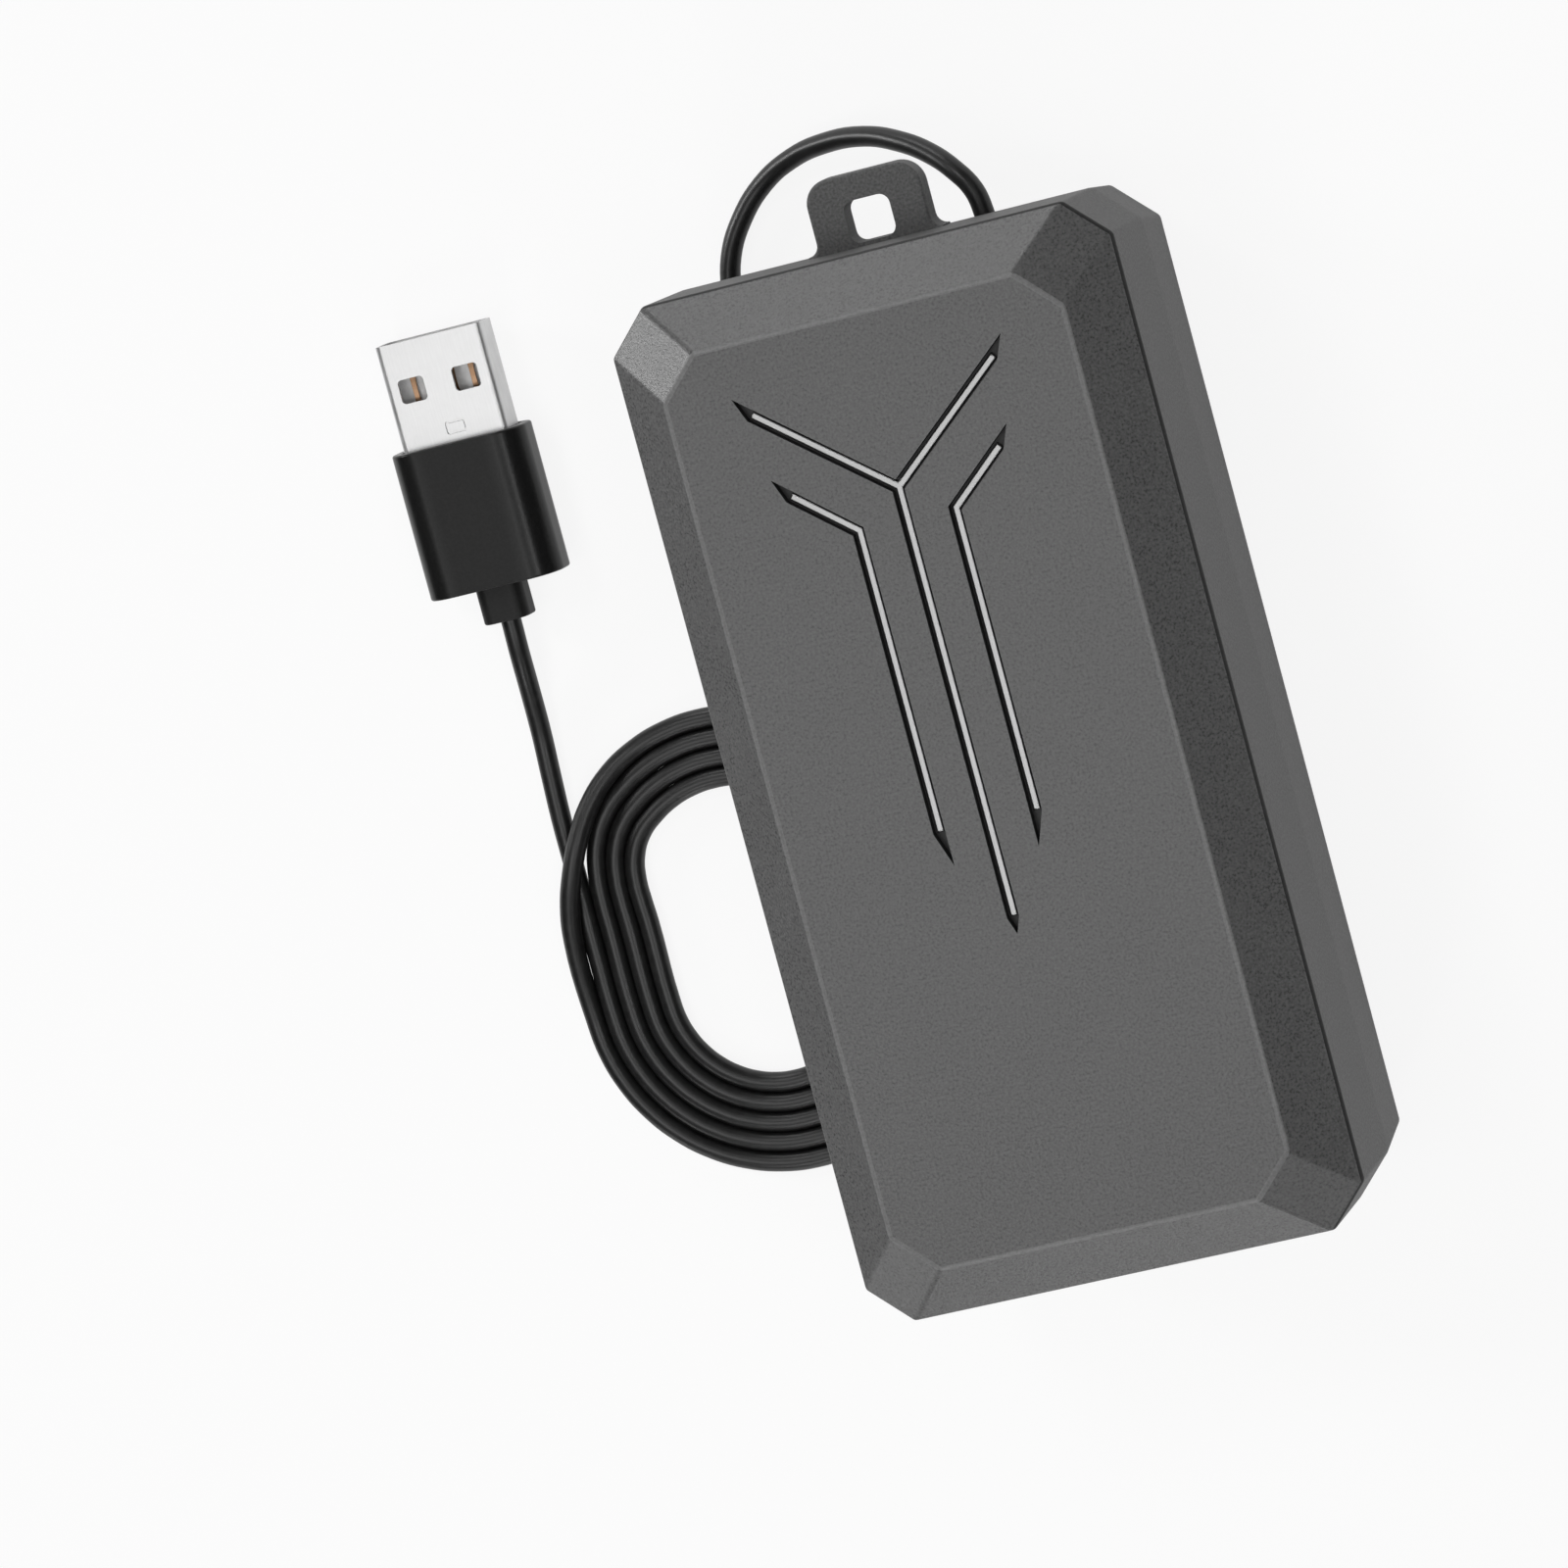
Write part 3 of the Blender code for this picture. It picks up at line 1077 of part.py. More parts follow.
def make_board(board_material, chip_material, can_material, screw_material):
    low = (-BOARD_HALF_WIDTH, BOARD_START_Y, Z_BOARD)
    board = part("circuit_board", box(low, (BOARD_HALF_WIDTH, BOARD_END_Y, Z_BOARD_TOP)), board_material)
    screw_y = BOARD_START_Y + BOARD_SCREW_FROM_EDGE
    profile = [
        (0, Z_FLOOR + 2 * GAP),
        (BOARD_SCREW_RADIUS, Z_FLOOR + 2 * GAP),
        (BOARD_SCREW_RADIUS, Z_BOARD_TOP + GAP),
        (BOARD_SCREW_HEAD, Z_BOARD_TOP + GAP),
        (BOARD_SCREW_HEAD, Z_BOARD_TOP + GAP + BOARD_SCREW_RADIUS),
        (0, Z_BOARD_TOP + GAP + BOARD_SCREW_RADIUS),
    ]
    for number, side in enumerate((-1, 1), 1):
        x = side * BOARD_SCREW_X
        hole = (x, screw_y, Z_BOARD - WALL)
        cut(board, rod(BOARD_SCREW_RADIUS + GAP, hole, Z_BOARD_TOP + WALL, steps=SMALL_ROUND))
        part(f"board_screw_{number}", turned(profile, (x, screw_y, 0), steps=SMALL_ROUND), screw_material)
    foot = Z_BOARD_TOP + FILM_GAP
    width, depth, height = CHIP_SIZE
    chip_y = BOARD_START_Y + CHIP_FROM_EDGE
    chip = box((-width / 2, chip_y - depth / 2, foot), (width / 2, chip_y + depth / 2, foot + height))
    part("driver_chip", chip, chip_material)
    can = (CAPACITOR_X, BOARD_START_Y + CAPACITOR_FROM_EDGE, foot)
    part("capacitor", rod(CAPACITOR_RADIUS, can, foot + CAPACITOR_HEIGHT), can_material)


def make_wires(red, black, copper):
    """Two supply wires from the cord's jacket to the board, and two from the board to the coil."""
    rest = Z_BOARD_TOP + WIRE_RADIUS + FILM_GAP
    jacket_end = END_WALL_Y - CORD_TAIL
    for number, (side, material) in enumerate(((-1, red), (1, black)), 1):
        x = GROMMET_X + side * (WIRE_RADIUS + GAP / 2)
        pad_x = GROMMET_X - 4 * WIRE_RADIUS + side * 2 * WIRE_RADIUS
        route = (
            (x, jacket_end - GAP, Z_GROMMET),
            (x, jacket_end - GAP - 2 * WIRE_RADIUS, Z_GROMMET),
            (pad_x, BOARD_END_Y - 3 * WIRE_RADIUS, rest + WIRE_RADIUS),
            (pad_x, BOARD_END_Y - 8 * WIRE_RADIUS, rest),
        )
        tube(f"power_wire_{number}", route_points(route, 3 * WIRE_RADIUS), WIRE_RADIUS, material, 1)
    low = Z_DRIVE - CORE_THICKNESS / 2 - 3 * WIRE_RADIUS
    for number, side in enumerate((-1, 1), 1):
        x = PIVOT_X + side * 4 * WIRE_RADIUS
        route = (
            (x, BOARD_START_Y + 6 * WIRE_RADIUS, rest),
            (x, BOARD_START_Y + WIRE_RADIUS, rest + WIRE_RADIUS),
            (x, CORE_BACK_Y, low),
            (x, YOKE_Y + CORE_YOKE / 2, low),
            (x, YOKE_Y, low),
        )
        tube(f"coil_wire_{number}", route_points(route, 3 * WIRE_RADIUS), WIRE_RADIUS, copper, 1)


def make_grommet(rubber):
    """A rubber bush through the end wall, round the cord."""
    inner = CORD_RADIUS + GAP
    inside = END_WALL_Y - GAP
    outside = HALF_LENGTH - RIDGE_INSET + GAP
    profile = [
        (inner, inside - GROMMET_FLANGE),
        (GROMMET_FLANGE_RADIUS, inside - GROMMET_FLANGE),
        (GROMMET_FLANGE_RADIUS, inside),
        (GROMMET_NECK_RADIUS, inside),
        (GROMMET_NECK_RADIUS, outside),
        (GROMMET_FLANGE_RADIUS, outside),
        (GROMMET_FLANGE_RADIUS - GAP, outside + GROMMET_FLANGE),
        (inner, outside + GROMMET_FLANGE),
    ]
    part("cord_grommet", turned(profile, (GROMMET_X, 0, Z_GROMMET), "Y"), rubber)


def make_cord(jacket):
    spacing = 2 * CORD_DIAMETER
    route = [(x * MM, y * MM, Z_GROMMET if z is None else z * MM) for x, y, z in CORD_ARC_ROUTE]
    tube("cord_arc", route_points(route, spacing), CORD_RADIUS, jacket)
    lead = [(x * MM, y * MM, z * MM) for x, y, z in CORD_LEAD_ROUTE]
    tube("cord_lead", route_points(lead, spacing), CORD_RADIUS, jacket)
    outer = prism(stadium(COIL_STRAIGHT / 2, COIL_OUTER_RADIUS), 0, CORD_DIAMETER)
    coil = part("cord_coil", moved(outer, (COIL_X, COIL_Y, 0)), jacket)
    hollow = prism(stadium(COIL_STRAIGHT / 2, COIL_INNER_RADIUS), -CORD_DIAMETER, 2 * CORD_DIAMETER)
    cut(coil, moved(hollow, (COIL_X, COIL_Y, 0)))


def plug_block(width, height, start, end, corner):
    """A rounded bar of the plug along Y."""
    shape = prism(rounded_rectangle(width / 2, height / 2, corner), -end, -start)
    shape.transform(Matrix.Translation((PLUG_X, 0, Z_PLUG)) @ Matrix.Rotation(pi / 2, 4, "X"))
    return shape


def make_plug(overmould_material, steel, insulator, gold):
    body = plug_block(OVERMOULD_WIDTH, OVERMOULD_HEIGHT, OVERMOULD_BACK_Y, OVERMOULD_FRONT_Y, OVERMOULD_EDGE)
    overmould = part("plug_overmould", body, overmould_material)
    collar_root = OVERMOULD_BACK_Y + OVERMOULD_EDGE
    collar = plug_block(COLLAR_WIDTH, COLLAR_HEIGHT, COLLAR_END_Y, collar_root, OVERMOULD_EDGE)
    fuse(overmould, collar)
    mouth = OVERMOULD_FRONT_Y + SHELL_LENGTH
    socket = plug_block(
        SHELL_WIDTH + 2 * GAP, SHELL_HEIGHT + 2 * GAP, SHELL_BACK_Y - GAP, mouth, SHELL_WALL + GAP
    )
    cut(overmould, socket)

    sleeve = plug_block(SHELL_WIDTH, SHELL_HEIGHT, SHELL_BACK_Y, PLUG_FRONT_Y, 2 * SHELL_WALL)
    shell = part("plug_shell", sleeve, steel)
    hollow_width = SHELL_WIDTH - 2 * SHELL_WALL
    hollow_height = SHELL_HEIGHT - 2 * SHELL_WALL
    cut(shell, plug_block(hollow_width, hollow_height, SHELL_BACK_Y - GAP, mouth + GAP, SHELL_WALL))
    window_y = PLUG_FRONT_Y - WINDOW_FROM_FRONT
    for side in (-1, 1):
        x = PLUG_X + side * WINDOW_X
        cut(
            shell,
            box(
                (x - WINDOW_WIDTH / 2, window_y - WINDOW_LENGTH / 2, Z_PLUG),
                (x + WINDOW_WIDTH / 2, window_y + WINDOW_LENGTH / 2, Z_PLUG + SHELL_HEIGHT),
            ),
        )

    tongue_end = PLUG_FRONT_Y - SHELL_WALL
    tongue_top = Z_TONGUE + TONGUE_THICKNESS
    tongue = box(
        (PLUG_X - TONGUE_WIDTH / 2, SHELL_BACK_Y, Z_TONGUE),
        (PLUG_X + TONGUE_WIDTH / 2, tongue_end, tongue_top),
    )
    part("plug_tongue", tongue, insulator)
    foot = tongue_top + FILM_GAP
    contact_end = tongue_end - CONTACT_WIDTH
    for number in range(4):
        x = PLUG_X + (number - 1.5) * CONTACT_PITCH
        contact = box(
            (x - CONTACT_WIDTH / 2, contact_end - CONTACT_LENGTH, foot),
            (x + CONTACT_WIDTH / 2, contact_end, foot + CONTACT_THICKNESS),
        )
        part(f"plug_contact_{number + 1}", contact, gold)


clear_scene()
pump_frame = bpy.data.objects.new("pump_frame", None)
bpy.context.scene.collection.objects.link(pump_frame)
pump_frame.location = (0, CENTRE_Y, 0)

case_grey = finish("case_grey", (0.105, 0.105, 0.108), 0.6)
bright_trim = finish("bright_trim", (0.75, 0.75, 0.76), 0.25, 1.0)
screw_steel = finish("screw_steel", (0.55, 0.55, 0.56), 0.35, 1.0)
soft_rubber = finish("soft_rubber", (0.025, 0.025, 0.027), 0.75)
felt_white = finish("felt_white", (0.78, 0.77, 0.73), 0.95)
chassis_plastic = finish("chassis_plastic", (0.72, 0.71, 0.67), 0.5)
core_steel = finish("core_steel", (0.32, 0.32, 0.33), 0.45, 1.0)
bobbin_nylon = finish("bobbin_nylon", (0.8, 0.78, 0.7), 0.5)
winding_copper = finish("winding_copper", (0.62, 0.24, 0.09), 0.35, 1.0)
arm_nylon = finish("arm_nylon", (0.06, 0.06, 0.065), 0.5)
magnet_ferrite = finish("magnet_ferrite", (0.12, 0.12, 0.125), 0.5, 0.3)
head_plastic = finish("head_plastic", (0.55, 0.56, 0.56), 0.45)
hose_silicone = finish("hose_silicone", (0.7, 0.72, 0.72), 0.4)
board_green = finish("board_green", (0.03, 0.19, 0.07), 0.45)
chip_black = finish("chip_black", (0.02, 0.02, 0.02), 0.5)
capacitor_can = finish("capacitor_can", (0.05, 0.07, 0.2), 0.35)
wire_red = finish("wire_red", (0.55, 0.03, 0.03), 0.45)
wire_black = finish("wire_black", (0.02, 0.02, 0.02), 0.45)
wire_enamel = finish("wire_enamel", (0.6, 0.42, 0.12), 0.4)
cord_black = finish("cord_black", (0.018, 0.018, 0.019), 0.42)
plug_black = finish("plug_black", (0.02, 0.02, 0.021), 0.45)
plug_steel = finish("plug_steel", (0.82, 0.82, 0.83), 0.2, 1.0)
plug_insulator = finish("plug_insulator", (0.75, 0.75, 0.74), 0.5)
contact_gold = finish("contact_gold", (0.8, 0.55, 0.2), 0.25, 1.0)

make_rear_cover(case_grey)
make_front_cover(case_grey)
make_trim(bright_trim)
make_case_screws(screw_steel)
make_feet(soft_rubber)
make_felt(felt_white)
make_chassis(chassis_plastic)
make_bushes(soft_rubber)
make_core(core_steel)
make_core_screws(screw_steel)
make_coil(bobbin_nylon, winding_copper)
make_arm(arm_nylon, magnet_ferrite, screw_steel)
make_diaphragm(soft_rubber, arm_nylon)
make_head(head_plastic, soft_rubber, screw_steel)
make_outlet(head_plastic, hose_silicone)
make_board(board_green, chip_black, capacitor_can, screw_steel)
make_wires(wire_red, wire_black, wire_enamel)
make_grommet(soft_rubber)
make_cord(cord_black)
make_plug(plug_black, plug_steel, plug_insulator, contact_gold)
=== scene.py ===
# %% [markdown]
# # Dressing a small aquarium air pump
# The pump is a flat grey case, about the size of a bar of soap, with a black power cord wound beside it.
# Its parts come packed from the CAD model in one shared frame, in metres, with the floor at height zero.
# This lesson keeps that frame, and gives every part that shows its rounded edges, its grain and its shine.

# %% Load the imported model
import json
import math

import bmesh
import bpy
from mathutils import Matrix, Vector


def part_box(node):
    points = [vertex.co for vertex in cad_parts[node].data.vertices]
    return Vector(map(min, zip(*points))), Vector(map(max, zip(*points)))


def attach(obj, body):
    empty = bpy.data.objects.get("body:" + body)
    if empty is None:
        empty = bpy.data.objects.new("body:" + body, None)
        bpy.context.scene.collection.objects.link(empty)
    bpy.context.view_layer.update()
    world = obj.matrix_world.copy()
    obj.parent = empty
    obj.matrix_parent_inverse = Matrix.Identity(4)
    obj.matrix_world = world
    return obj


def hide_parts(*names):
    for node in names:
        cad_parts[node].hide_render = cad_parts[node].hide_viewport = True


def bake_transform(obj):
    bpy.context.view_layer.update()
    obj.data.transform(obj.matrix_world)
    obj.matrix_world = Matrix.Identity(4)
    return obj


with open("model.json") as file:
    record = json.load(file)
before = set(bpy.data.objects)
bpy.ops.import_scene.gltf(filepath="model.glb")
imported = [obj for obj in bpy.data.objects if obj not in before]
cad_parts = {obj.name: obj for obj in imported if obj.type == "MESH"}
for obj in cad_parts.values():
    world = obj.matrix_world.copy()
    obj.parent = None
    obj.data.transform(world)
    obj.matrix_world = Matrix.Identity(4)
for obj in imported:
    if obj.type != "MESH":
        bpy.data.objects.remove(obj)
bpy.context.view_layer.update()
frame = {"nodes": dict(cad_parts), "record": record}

MM = 0.001


def in_mm(lengths, digits=1):
    """Lengths as rounded millimetres, to print."""
    return [round(length / MM, digits) for length in lengths]


# %% [markdown]
# ## Where the case is
# The hanger tab makes the pump longer at one end, so the middle of the case isn't the middle of the frame.
# The front cover reaches over the whole case and no further, so its box gives the case's own middle.
# All the sizes below are millimetres from there, which is how one would measure the real pump with a ruler.

# %% Measure the case
front_low, front_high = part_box("front_cover")
CASE_Y = (front_low.y + front_high.y) / 2
HALF_WIDTH = (front_high.x - front_low.x) / 2
HALF_LENGTH = (front_high.y - front_low.y) / 2
Z_FRONT = front_high.z


def at(x, y, z):
    """A point in the frame, from millimetres across and along the case and above the floor."""
    return Vector((x * MM, y * MM + CASE_Y, z * MM))


print("case width, length and front height, mm:", in_mm((2 * HALF_WIDTH, 2 * HALF_LENGTH, Z_FRONT)))

# %% [markdown]
# ## The camera
# The picture was taken from far away with a long lens, nearly straight down, with the pump turned a little.
# A camera can be turned by three angles, but those are hard to read, so this one gets three plain facts:
# where it stands, the point on the floor that it looks at, and which way is right in its picture.
# The other two directions follow from these by two cross products.

# %% Set up the camera
CAMERA_PLACE = Vector((0.26346, 0.10535, 0.95261))
CAMERA_AIM = Vector((-0.03106, -0.00412, 0.0))
CAMERA_RIGHT = Vector((0.93057, -0.25992, -0.25784))
CAMERA_LENS = 218.14
CAMERA_CLIP = (0.05, 20.0)

camera = bpy.data.objects.new("camera", bpy.data.cameras.new("camera"))
bpy.context.scene.collection.objects.link(camera)
bpy.context.scene.camera = camera
backward = (CAMERA_PLACE - CAMERA_AIM).normalized()
upward = backward.cross(CAMERA_RIGHT).normalized()
camera.rotation_euler = Matrix((upward.cross(backward), upward, backward)).transposed().to_euler()
camera.location = CAMERA_PLACE
camera.data.lens = CAMERA_LENS
camera.data.clip_start, camera.data.clip_end = CAMERA_CLIP
print("camera is", round((CAMERA_PLACE - CAMERA_AIM).length, 3), "m from what it looks at")

# %% [markdown]
# ## The power cord's route
# The cord leaves the end wall, bends round in a loose loop, goes under the case and over the coil in a low
# hump, and then winds outwards in a flat oblong coil until its last strand leaves for the plug.
# Listed points give the loose stretches, and a loop over half turns gives the coil.
# Each of the first turns grows by one strand's width as it goes round. The last two turns change places
# on the far side, so the outermost strand rises over the one that leaves for the plug, in a long low hump,
# and leans in a little as it does, because a strand that lies on another slides down towards the coil.

# %% Lay out the cord's points
CORD_DIAMETER = 2.2
STRAND_PITCH = 2.15
STRAND_HEIGHT = 1.15
COIL_MIDDLE = (-38.0, -15.7)
COIL_HALF_STRAIGHT = 4.4
COIL_FIRST_RADIUS = 11.2
COIL_ENTRY_RADIUS = 8.3
COIL_RINGS = 5
HALF_TURN_STEPS = 16
GROWTH_SHARE = 0.26
HUMP_HEIGHT = 2.3
HUMP_LEAN = 1.1
HUMP_AT = 0.13
HUMP_REACH_RIGHT, HUMP_REACH_LEFT = 0.3, 0.26
RIGHT, LEFT = 0, 180
EXIT_LOOP = [
    (9.6, 47.9, 13.0), (9.6, 54.6, 13.0), (9.1, 56.5, 12.9), (7.8, 58.4, 12.4), (5.2, 60.8, 10.9),
    (1.6, 62.8, 8.9), (-2.4, 64.0, 6.6), (-7.4, 64.2, 4.1), (-11.8, 63.4, 2.3), (-15.8, 61.5, 1.3),
    (-19.1, 58.4, 1.15), (-21.2, 55.0, 1.15), (-22.2, 51.0, 1.15),
]
UNDER_CASE = [
    (-23.0, 42.0, 1.15), (-24.3, 30.0, 1.15), (-25.6, 20.0, 1.5), (-26.6, 13.0, 3.4), (-27.4, 7.0, 3.75),
    (-28.6, 1.0, 3.75), (-29.6, -4.6, 3.7), (-30.0, -9.6, 2.7), (-29.8, -15.0, 1.3),
]
LEAD = [
    (-55.7, -14.0, 1.15), (-55.66, -8.0, 1.15), (-55.62, -3.0, 1.15), (-55.6, 1.6, 1.15),
    (-55.42, 6.4, 1.15), (-55.2, 11.0, 1.2), (-54.8, 16.0, 2.3), (-54.35, 20.2, 3.7), (-54.2, 23.4, 4.0),
    (-54.2, 24.6, 4.0),
]


def ease(share):
    """Goes from 0 to 1 with a soft start and a soft stop."""
    share = min(max(share, 0.0), 1.0)
    return share * share * (3 - 2 * share)


def half_turn(start_radius, end_radius, start_angle, hump_at=None, hump_reach=1.0):
    """One end of the oblong coil, clockwise. Its radius changes early on, and it may rise in a hump."""
    end_y = COIL_MIDDLE[1] + math.copysign(COIL_HALF_STRAIGHT, start_angle - 90)
    points = []
    for step in range(HALF_TURN_STEPS + 1):
        share = step / HALF_TURN_STEPS
        away = 1.0 if hump_at is None else min(abs(share - hump_at) / hump_reach, 1.0)
        rise = 1 - away**2
        radius = start_radius + (end_radius - start_radius) * ease(share / GROWTH_SHARE)
        radius -= HUMP_LEAN * rise**4
        angle = math.radians(start_angle - 180 * share)
        x, y = COIL_MIDDLE[0] + radius * math.cos(angle), end_y + radius * math.sin(angle)
        points.append((x, y, STRAND_HEIGHT + HUMP_HEIGHT * rise**2))
    return points


radii = [COIL_FIRST_RADIUS + ring * STRAND_PITCH for ring in range(COIL_RINGS)]
coil = []
last_radius = COIL_ENTRY_RADIUS
for inner, outer in zip(radii[:-2], radii[1:-1]):
    coil += half_turn(last_radius, inner, RIGHT) + half_turn(inner, outer, LEFT)
    last_radius = outer
coil += half_turn(last_radius, radii[-1], RIGHT, HUMP_AT, HUMP_REACH_RIGHT)
coil += half_turn(radii[-1], radii[-1], LEFT, HUMP_AT, HUMP_REACH_LEFT)
coil += half_turn(radii[-1], last_radius, RIGHT)
cord_route = [at(*point) for point in EXIT_LOOP + UNDER_CASE + coil + LEAD]
print("cord has", len(cord_route), "points")

# %% [markdown]
# ## The cord as a curve
# A round cord is a curve with a bevel: Blender sweeps a circle along it, so its thickness is exact.
# The circle's radius is one metre times the radius of each point, so the points carry the real size.
# Automatic handles make one smooth line through the points, as a cord under its own stiffness lies.
# The picture shows this cord from end to end, so its length is simply the length of this route.

# %% Make the cord
CORD_SMOOTHNESS = 5
cord_data = bpy.data.curves.new("power_cord", "CURVE")
cord_data.dimensions = "3D"
cord_data.bevel_depth = 1.0
cord_data.bevel_resolution = CORD_SMOOTHNESS
cord_data.use_fill_caps = True
spline = cord_data.splines.new("BEZIER")
spline.resolution_u = CORD_SMOOTHNESS
spline.bezier_points.add(len(cord_route) - 1)
for knot, place in zip(spline.bezier_points, cord_route):
    knot.co = place
    knot.radius = CORD_DIAMETER / 2 * MM
    knot.handle_left_type = knot.handle_right_type = "AUTO"
cord = bpy.data.objects.new("power_cord", cord_data)
bpy.context.scene.collection.objects.link(cord)
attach(cord, "root")
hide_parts("cord_arc", "cord_coil", "cord_lead")

# %% [markdown]
# ## Shader sums in Python
# A material is a graph of nodes, and building graphs by hand makes long code for short ideas.
# This class wraps one socket. Sums on it add Math nodes, so a mask can be written as one line of Python,
# and any other node comes from its one method, which takes the node's kind, its settings and its sockets.

# %% A wrapper for sockets
class Shade:
    """A socket in a material that takes part in Python sums."""

    def __init__(self, tree, socket=None):
        self.tree = tree
        self.socket = socket

    def node(self, kind, settings, sockets, output=0):
        made = self.tree.nodes.new(kind)
        for name, value in settings.items():
            setattr(made, name, value)
        for name, value in sockets.items():
            if isinstance(value, Shade):
                self.tree.links.new(value.socket, made.inputs[name])
            else:
                made.inputs[name].default_value = value
        return Shade(self.tree, made.outputs[output] if made.outputs else None)

    def sum(self, operation, first, second=0.0):
        return self.node("ShaderNodeMath", {"operation": operation}, {0: first, 1: second})

    def __add__(self, other):
        return self.sum("ADD", self, other)

    def __radd__(self, other):
        return self.sum("ADD", other, self)

    def __sub__(self, other):
        return self.sum("SUBTRACT", self, other)

    def __rsub__(self, other):
        return self.sum("SUBTRACT", other, self)

    def __mul__(self, other):
        return self.sum("MULTIPLY", self, other)

    def __rmul__(self, other):
        return self.sum("MULTIPLY", other, self)

    def above(self, limit):
        return self.sum("GREATER_THAN", self, limit)

    def noise(self, scale, detail=2.0):
        sockets = {"Vector": self, "Scale": scale, "Detail": detail}
        return self.node("ShaderNodeTexNoise", {}, sockets, "Fac")

    def spread(self, low, high, new_low, new_high):
        sockets = {0: self, 1: low, 2: high, 3: new_low, 4: new_high}
        return self.node("ShaderNodeMapRange", {"clamp": True}, sockets)

    def blend(self, first, second):
        """A colour between two, with this value as the share of the second."""
        return self.node("ShaderNodeMix", {"data_type": "RGBA"}, {0: self, 6: first, 7: second}, 2)

    def mottle(self, dark, light, low=0.35, high=0.65):
        """A colour between two that follows a noise, most of which lies between low and high."""
        return self.spread(low, high, 0.0, 1.0).blend(dark, light)


def grey(level, tint=(1.0, 1.0, 1.0)):
    """A linear colour from a grey level of 0 to 255 as a screen shows it."""
    share = level / 255
    linear = share / 12.92 if share <= 0.04045 else ((share + 0.055) / 1.055) ** 2.4
    return tuple(linear * part for part in tint) + (1.0,)


print("mid grey 128 is", round(grey(128)[0], 3), "in linear light")

# %% [markdown]
# ## Starting and closing a material
# Every finish below starts from Object coordinates, which stay put on a piece whatever its shape,
# and ends in one Principled shader, often with a Bump node that turns a height into small dents.

# %% Two helpers for materials
finishes = {}


def start(name):
    """A new, empty material, and the Object coordinates in it."""
    material = bpy.data.materials.new(name)
    material.use_nodes = True
    material.node_tree.nodes.clear()
    finishes[name] = material
    return Shade(material.node_tree).node("ShaderNodeTexCoord", {}, {}, "Object")


def close(place, sockets, height, depth, strength=0.5):
    """Puts the Principled shader and the output in, with a bump of the given depth in millimetres."""
    bump = {"Strength": strength, "Distance": depth * MM, "Height": height}
    normal = place.node("ShaderNodeBump", {}, bump)
    shader = place.node("ShaderNodeBsdfPrincipled", {}, {**sockets, "Normal": normal})
    place.node("ShaderNodeOutputMaterial", {}, {"Surface": shader})


print("finishes so far:", len(finishes))

# %% [markdown]
# ## Moulded plastics and rubbers
# The case is dark grey plastic from a mould whose steel was sparked to a fine grain, which hides scratches.
# The rear cover's grain is deeper and duller than the front's, so its walls don't mirror the table, and the
# bevels round the front face get a lighter finish, a painted highlight that draws the thin light lines along
# those edges.
# The same recipe, with other colours and grain, makes the nylon, rubber and insulation inside the pump:
# a fine noise for the grain, and a wide one for the faint clouds that any moulding shows in its gloss.

# %% Plastics
CLOUD_SCALE = 120.0
GRAIN_SHARE = 0.92
CLOUD_GLOSS = 0.3


def moulded(name, dark, light, roughness, grain_size, depth, gloss_change=0.06, strength=0.5, shine=0.5):
    """A moulded finish whose grain is about grain_size millimetres across."""
    place = start(name)
    grain = place.noise(1 / (grain_size * MM), 3.0)
    clouds = place.noise(CLOUD_SCALE)
    colour = (grain * GRAIN_SHARE + clouds * (1 - GRAIN_SHARE)).mottle(dark, light)
    gloss = roughness + (clouds - 0.5) * gloss_change * CLOUD_GLOSS + (grain - 0.5) * gloss_change
    sockets = {"Base Color": colour, "Roughness": gloss, "Specular IOR Level": shine}
    close(place, sockets, grain, depth, strength)


moulded("case_grey", grey(74), grey(100), 0.29, 0.28, 0.06, 0.12, 0.6, 0.35)
# Painted highlight: this lighter finish goes on the small bevels round the front face and draws their thin
# light lines.
moulded("case_edge_highlight", grey(106), grey(124), 0.32, 0.28, 0.02, 0.06, 0.3, 0.35)
moulded("tub_grey", grey(74), grey(100), 0.55, 0.28, 0.08, 0.12, 0.8, 0.35)
moulded("soft_rubber", grey(30), grey(42), 0.72, 0.5, 0.03)
moulded("chassis_plastic", grey(215, (1, 0.99, 0.94)), grey(226, (1, 0.99, 0.95)), 0.5, 0.6, 0.02)
moulded("bobbin_nylon", grey(222, (1, 0.98, 0.9)), grey(234, (1, 0.98, 0.92)), 0.45, 0.8, 0.02)
moulded("arm_nylon", grey(52), grey(70), 0.5, 0.25, 0.03)
moulded("head_plastic", grey(188), grey(200), 0.45, 0.5, 0.02)
moulded("hose_silicone", grey(214), grey(228), 0.35, 1.2, 0.02)
moulded("chip_black", grey(30), grey(44), 0.55, 0.12, 0.02)
moulded("wire_red", (0.5, 0.02, 0.02, 1), (0.62, 0.04, 0.03, 1), 0.4, 0.6, 0.01)
moulded("wire_black", grey(26), grey(34), 0.4, 0.6, 0.01)
moulded("plug_insulator", grey(226), grey(238), 0.4, 0.6, 0.01)
moulded("cord_black", grey(18), grey(26), 0.36, 0.9, 0.03)
print("plastics and rubbers:", len(finishes))

# %% [markdown]
# ## A grip polished at its shoulders
# The plug's grip is moulded from a softer black plastic. Its flat middle keeps the grain of the mould, and
# its rounded long sides, where finger and thumb hold it, are smoother, so light runs along them in two bands.
# The gloss therefore changes with the distance from the grip's middle line, which the CAD part's box gives.

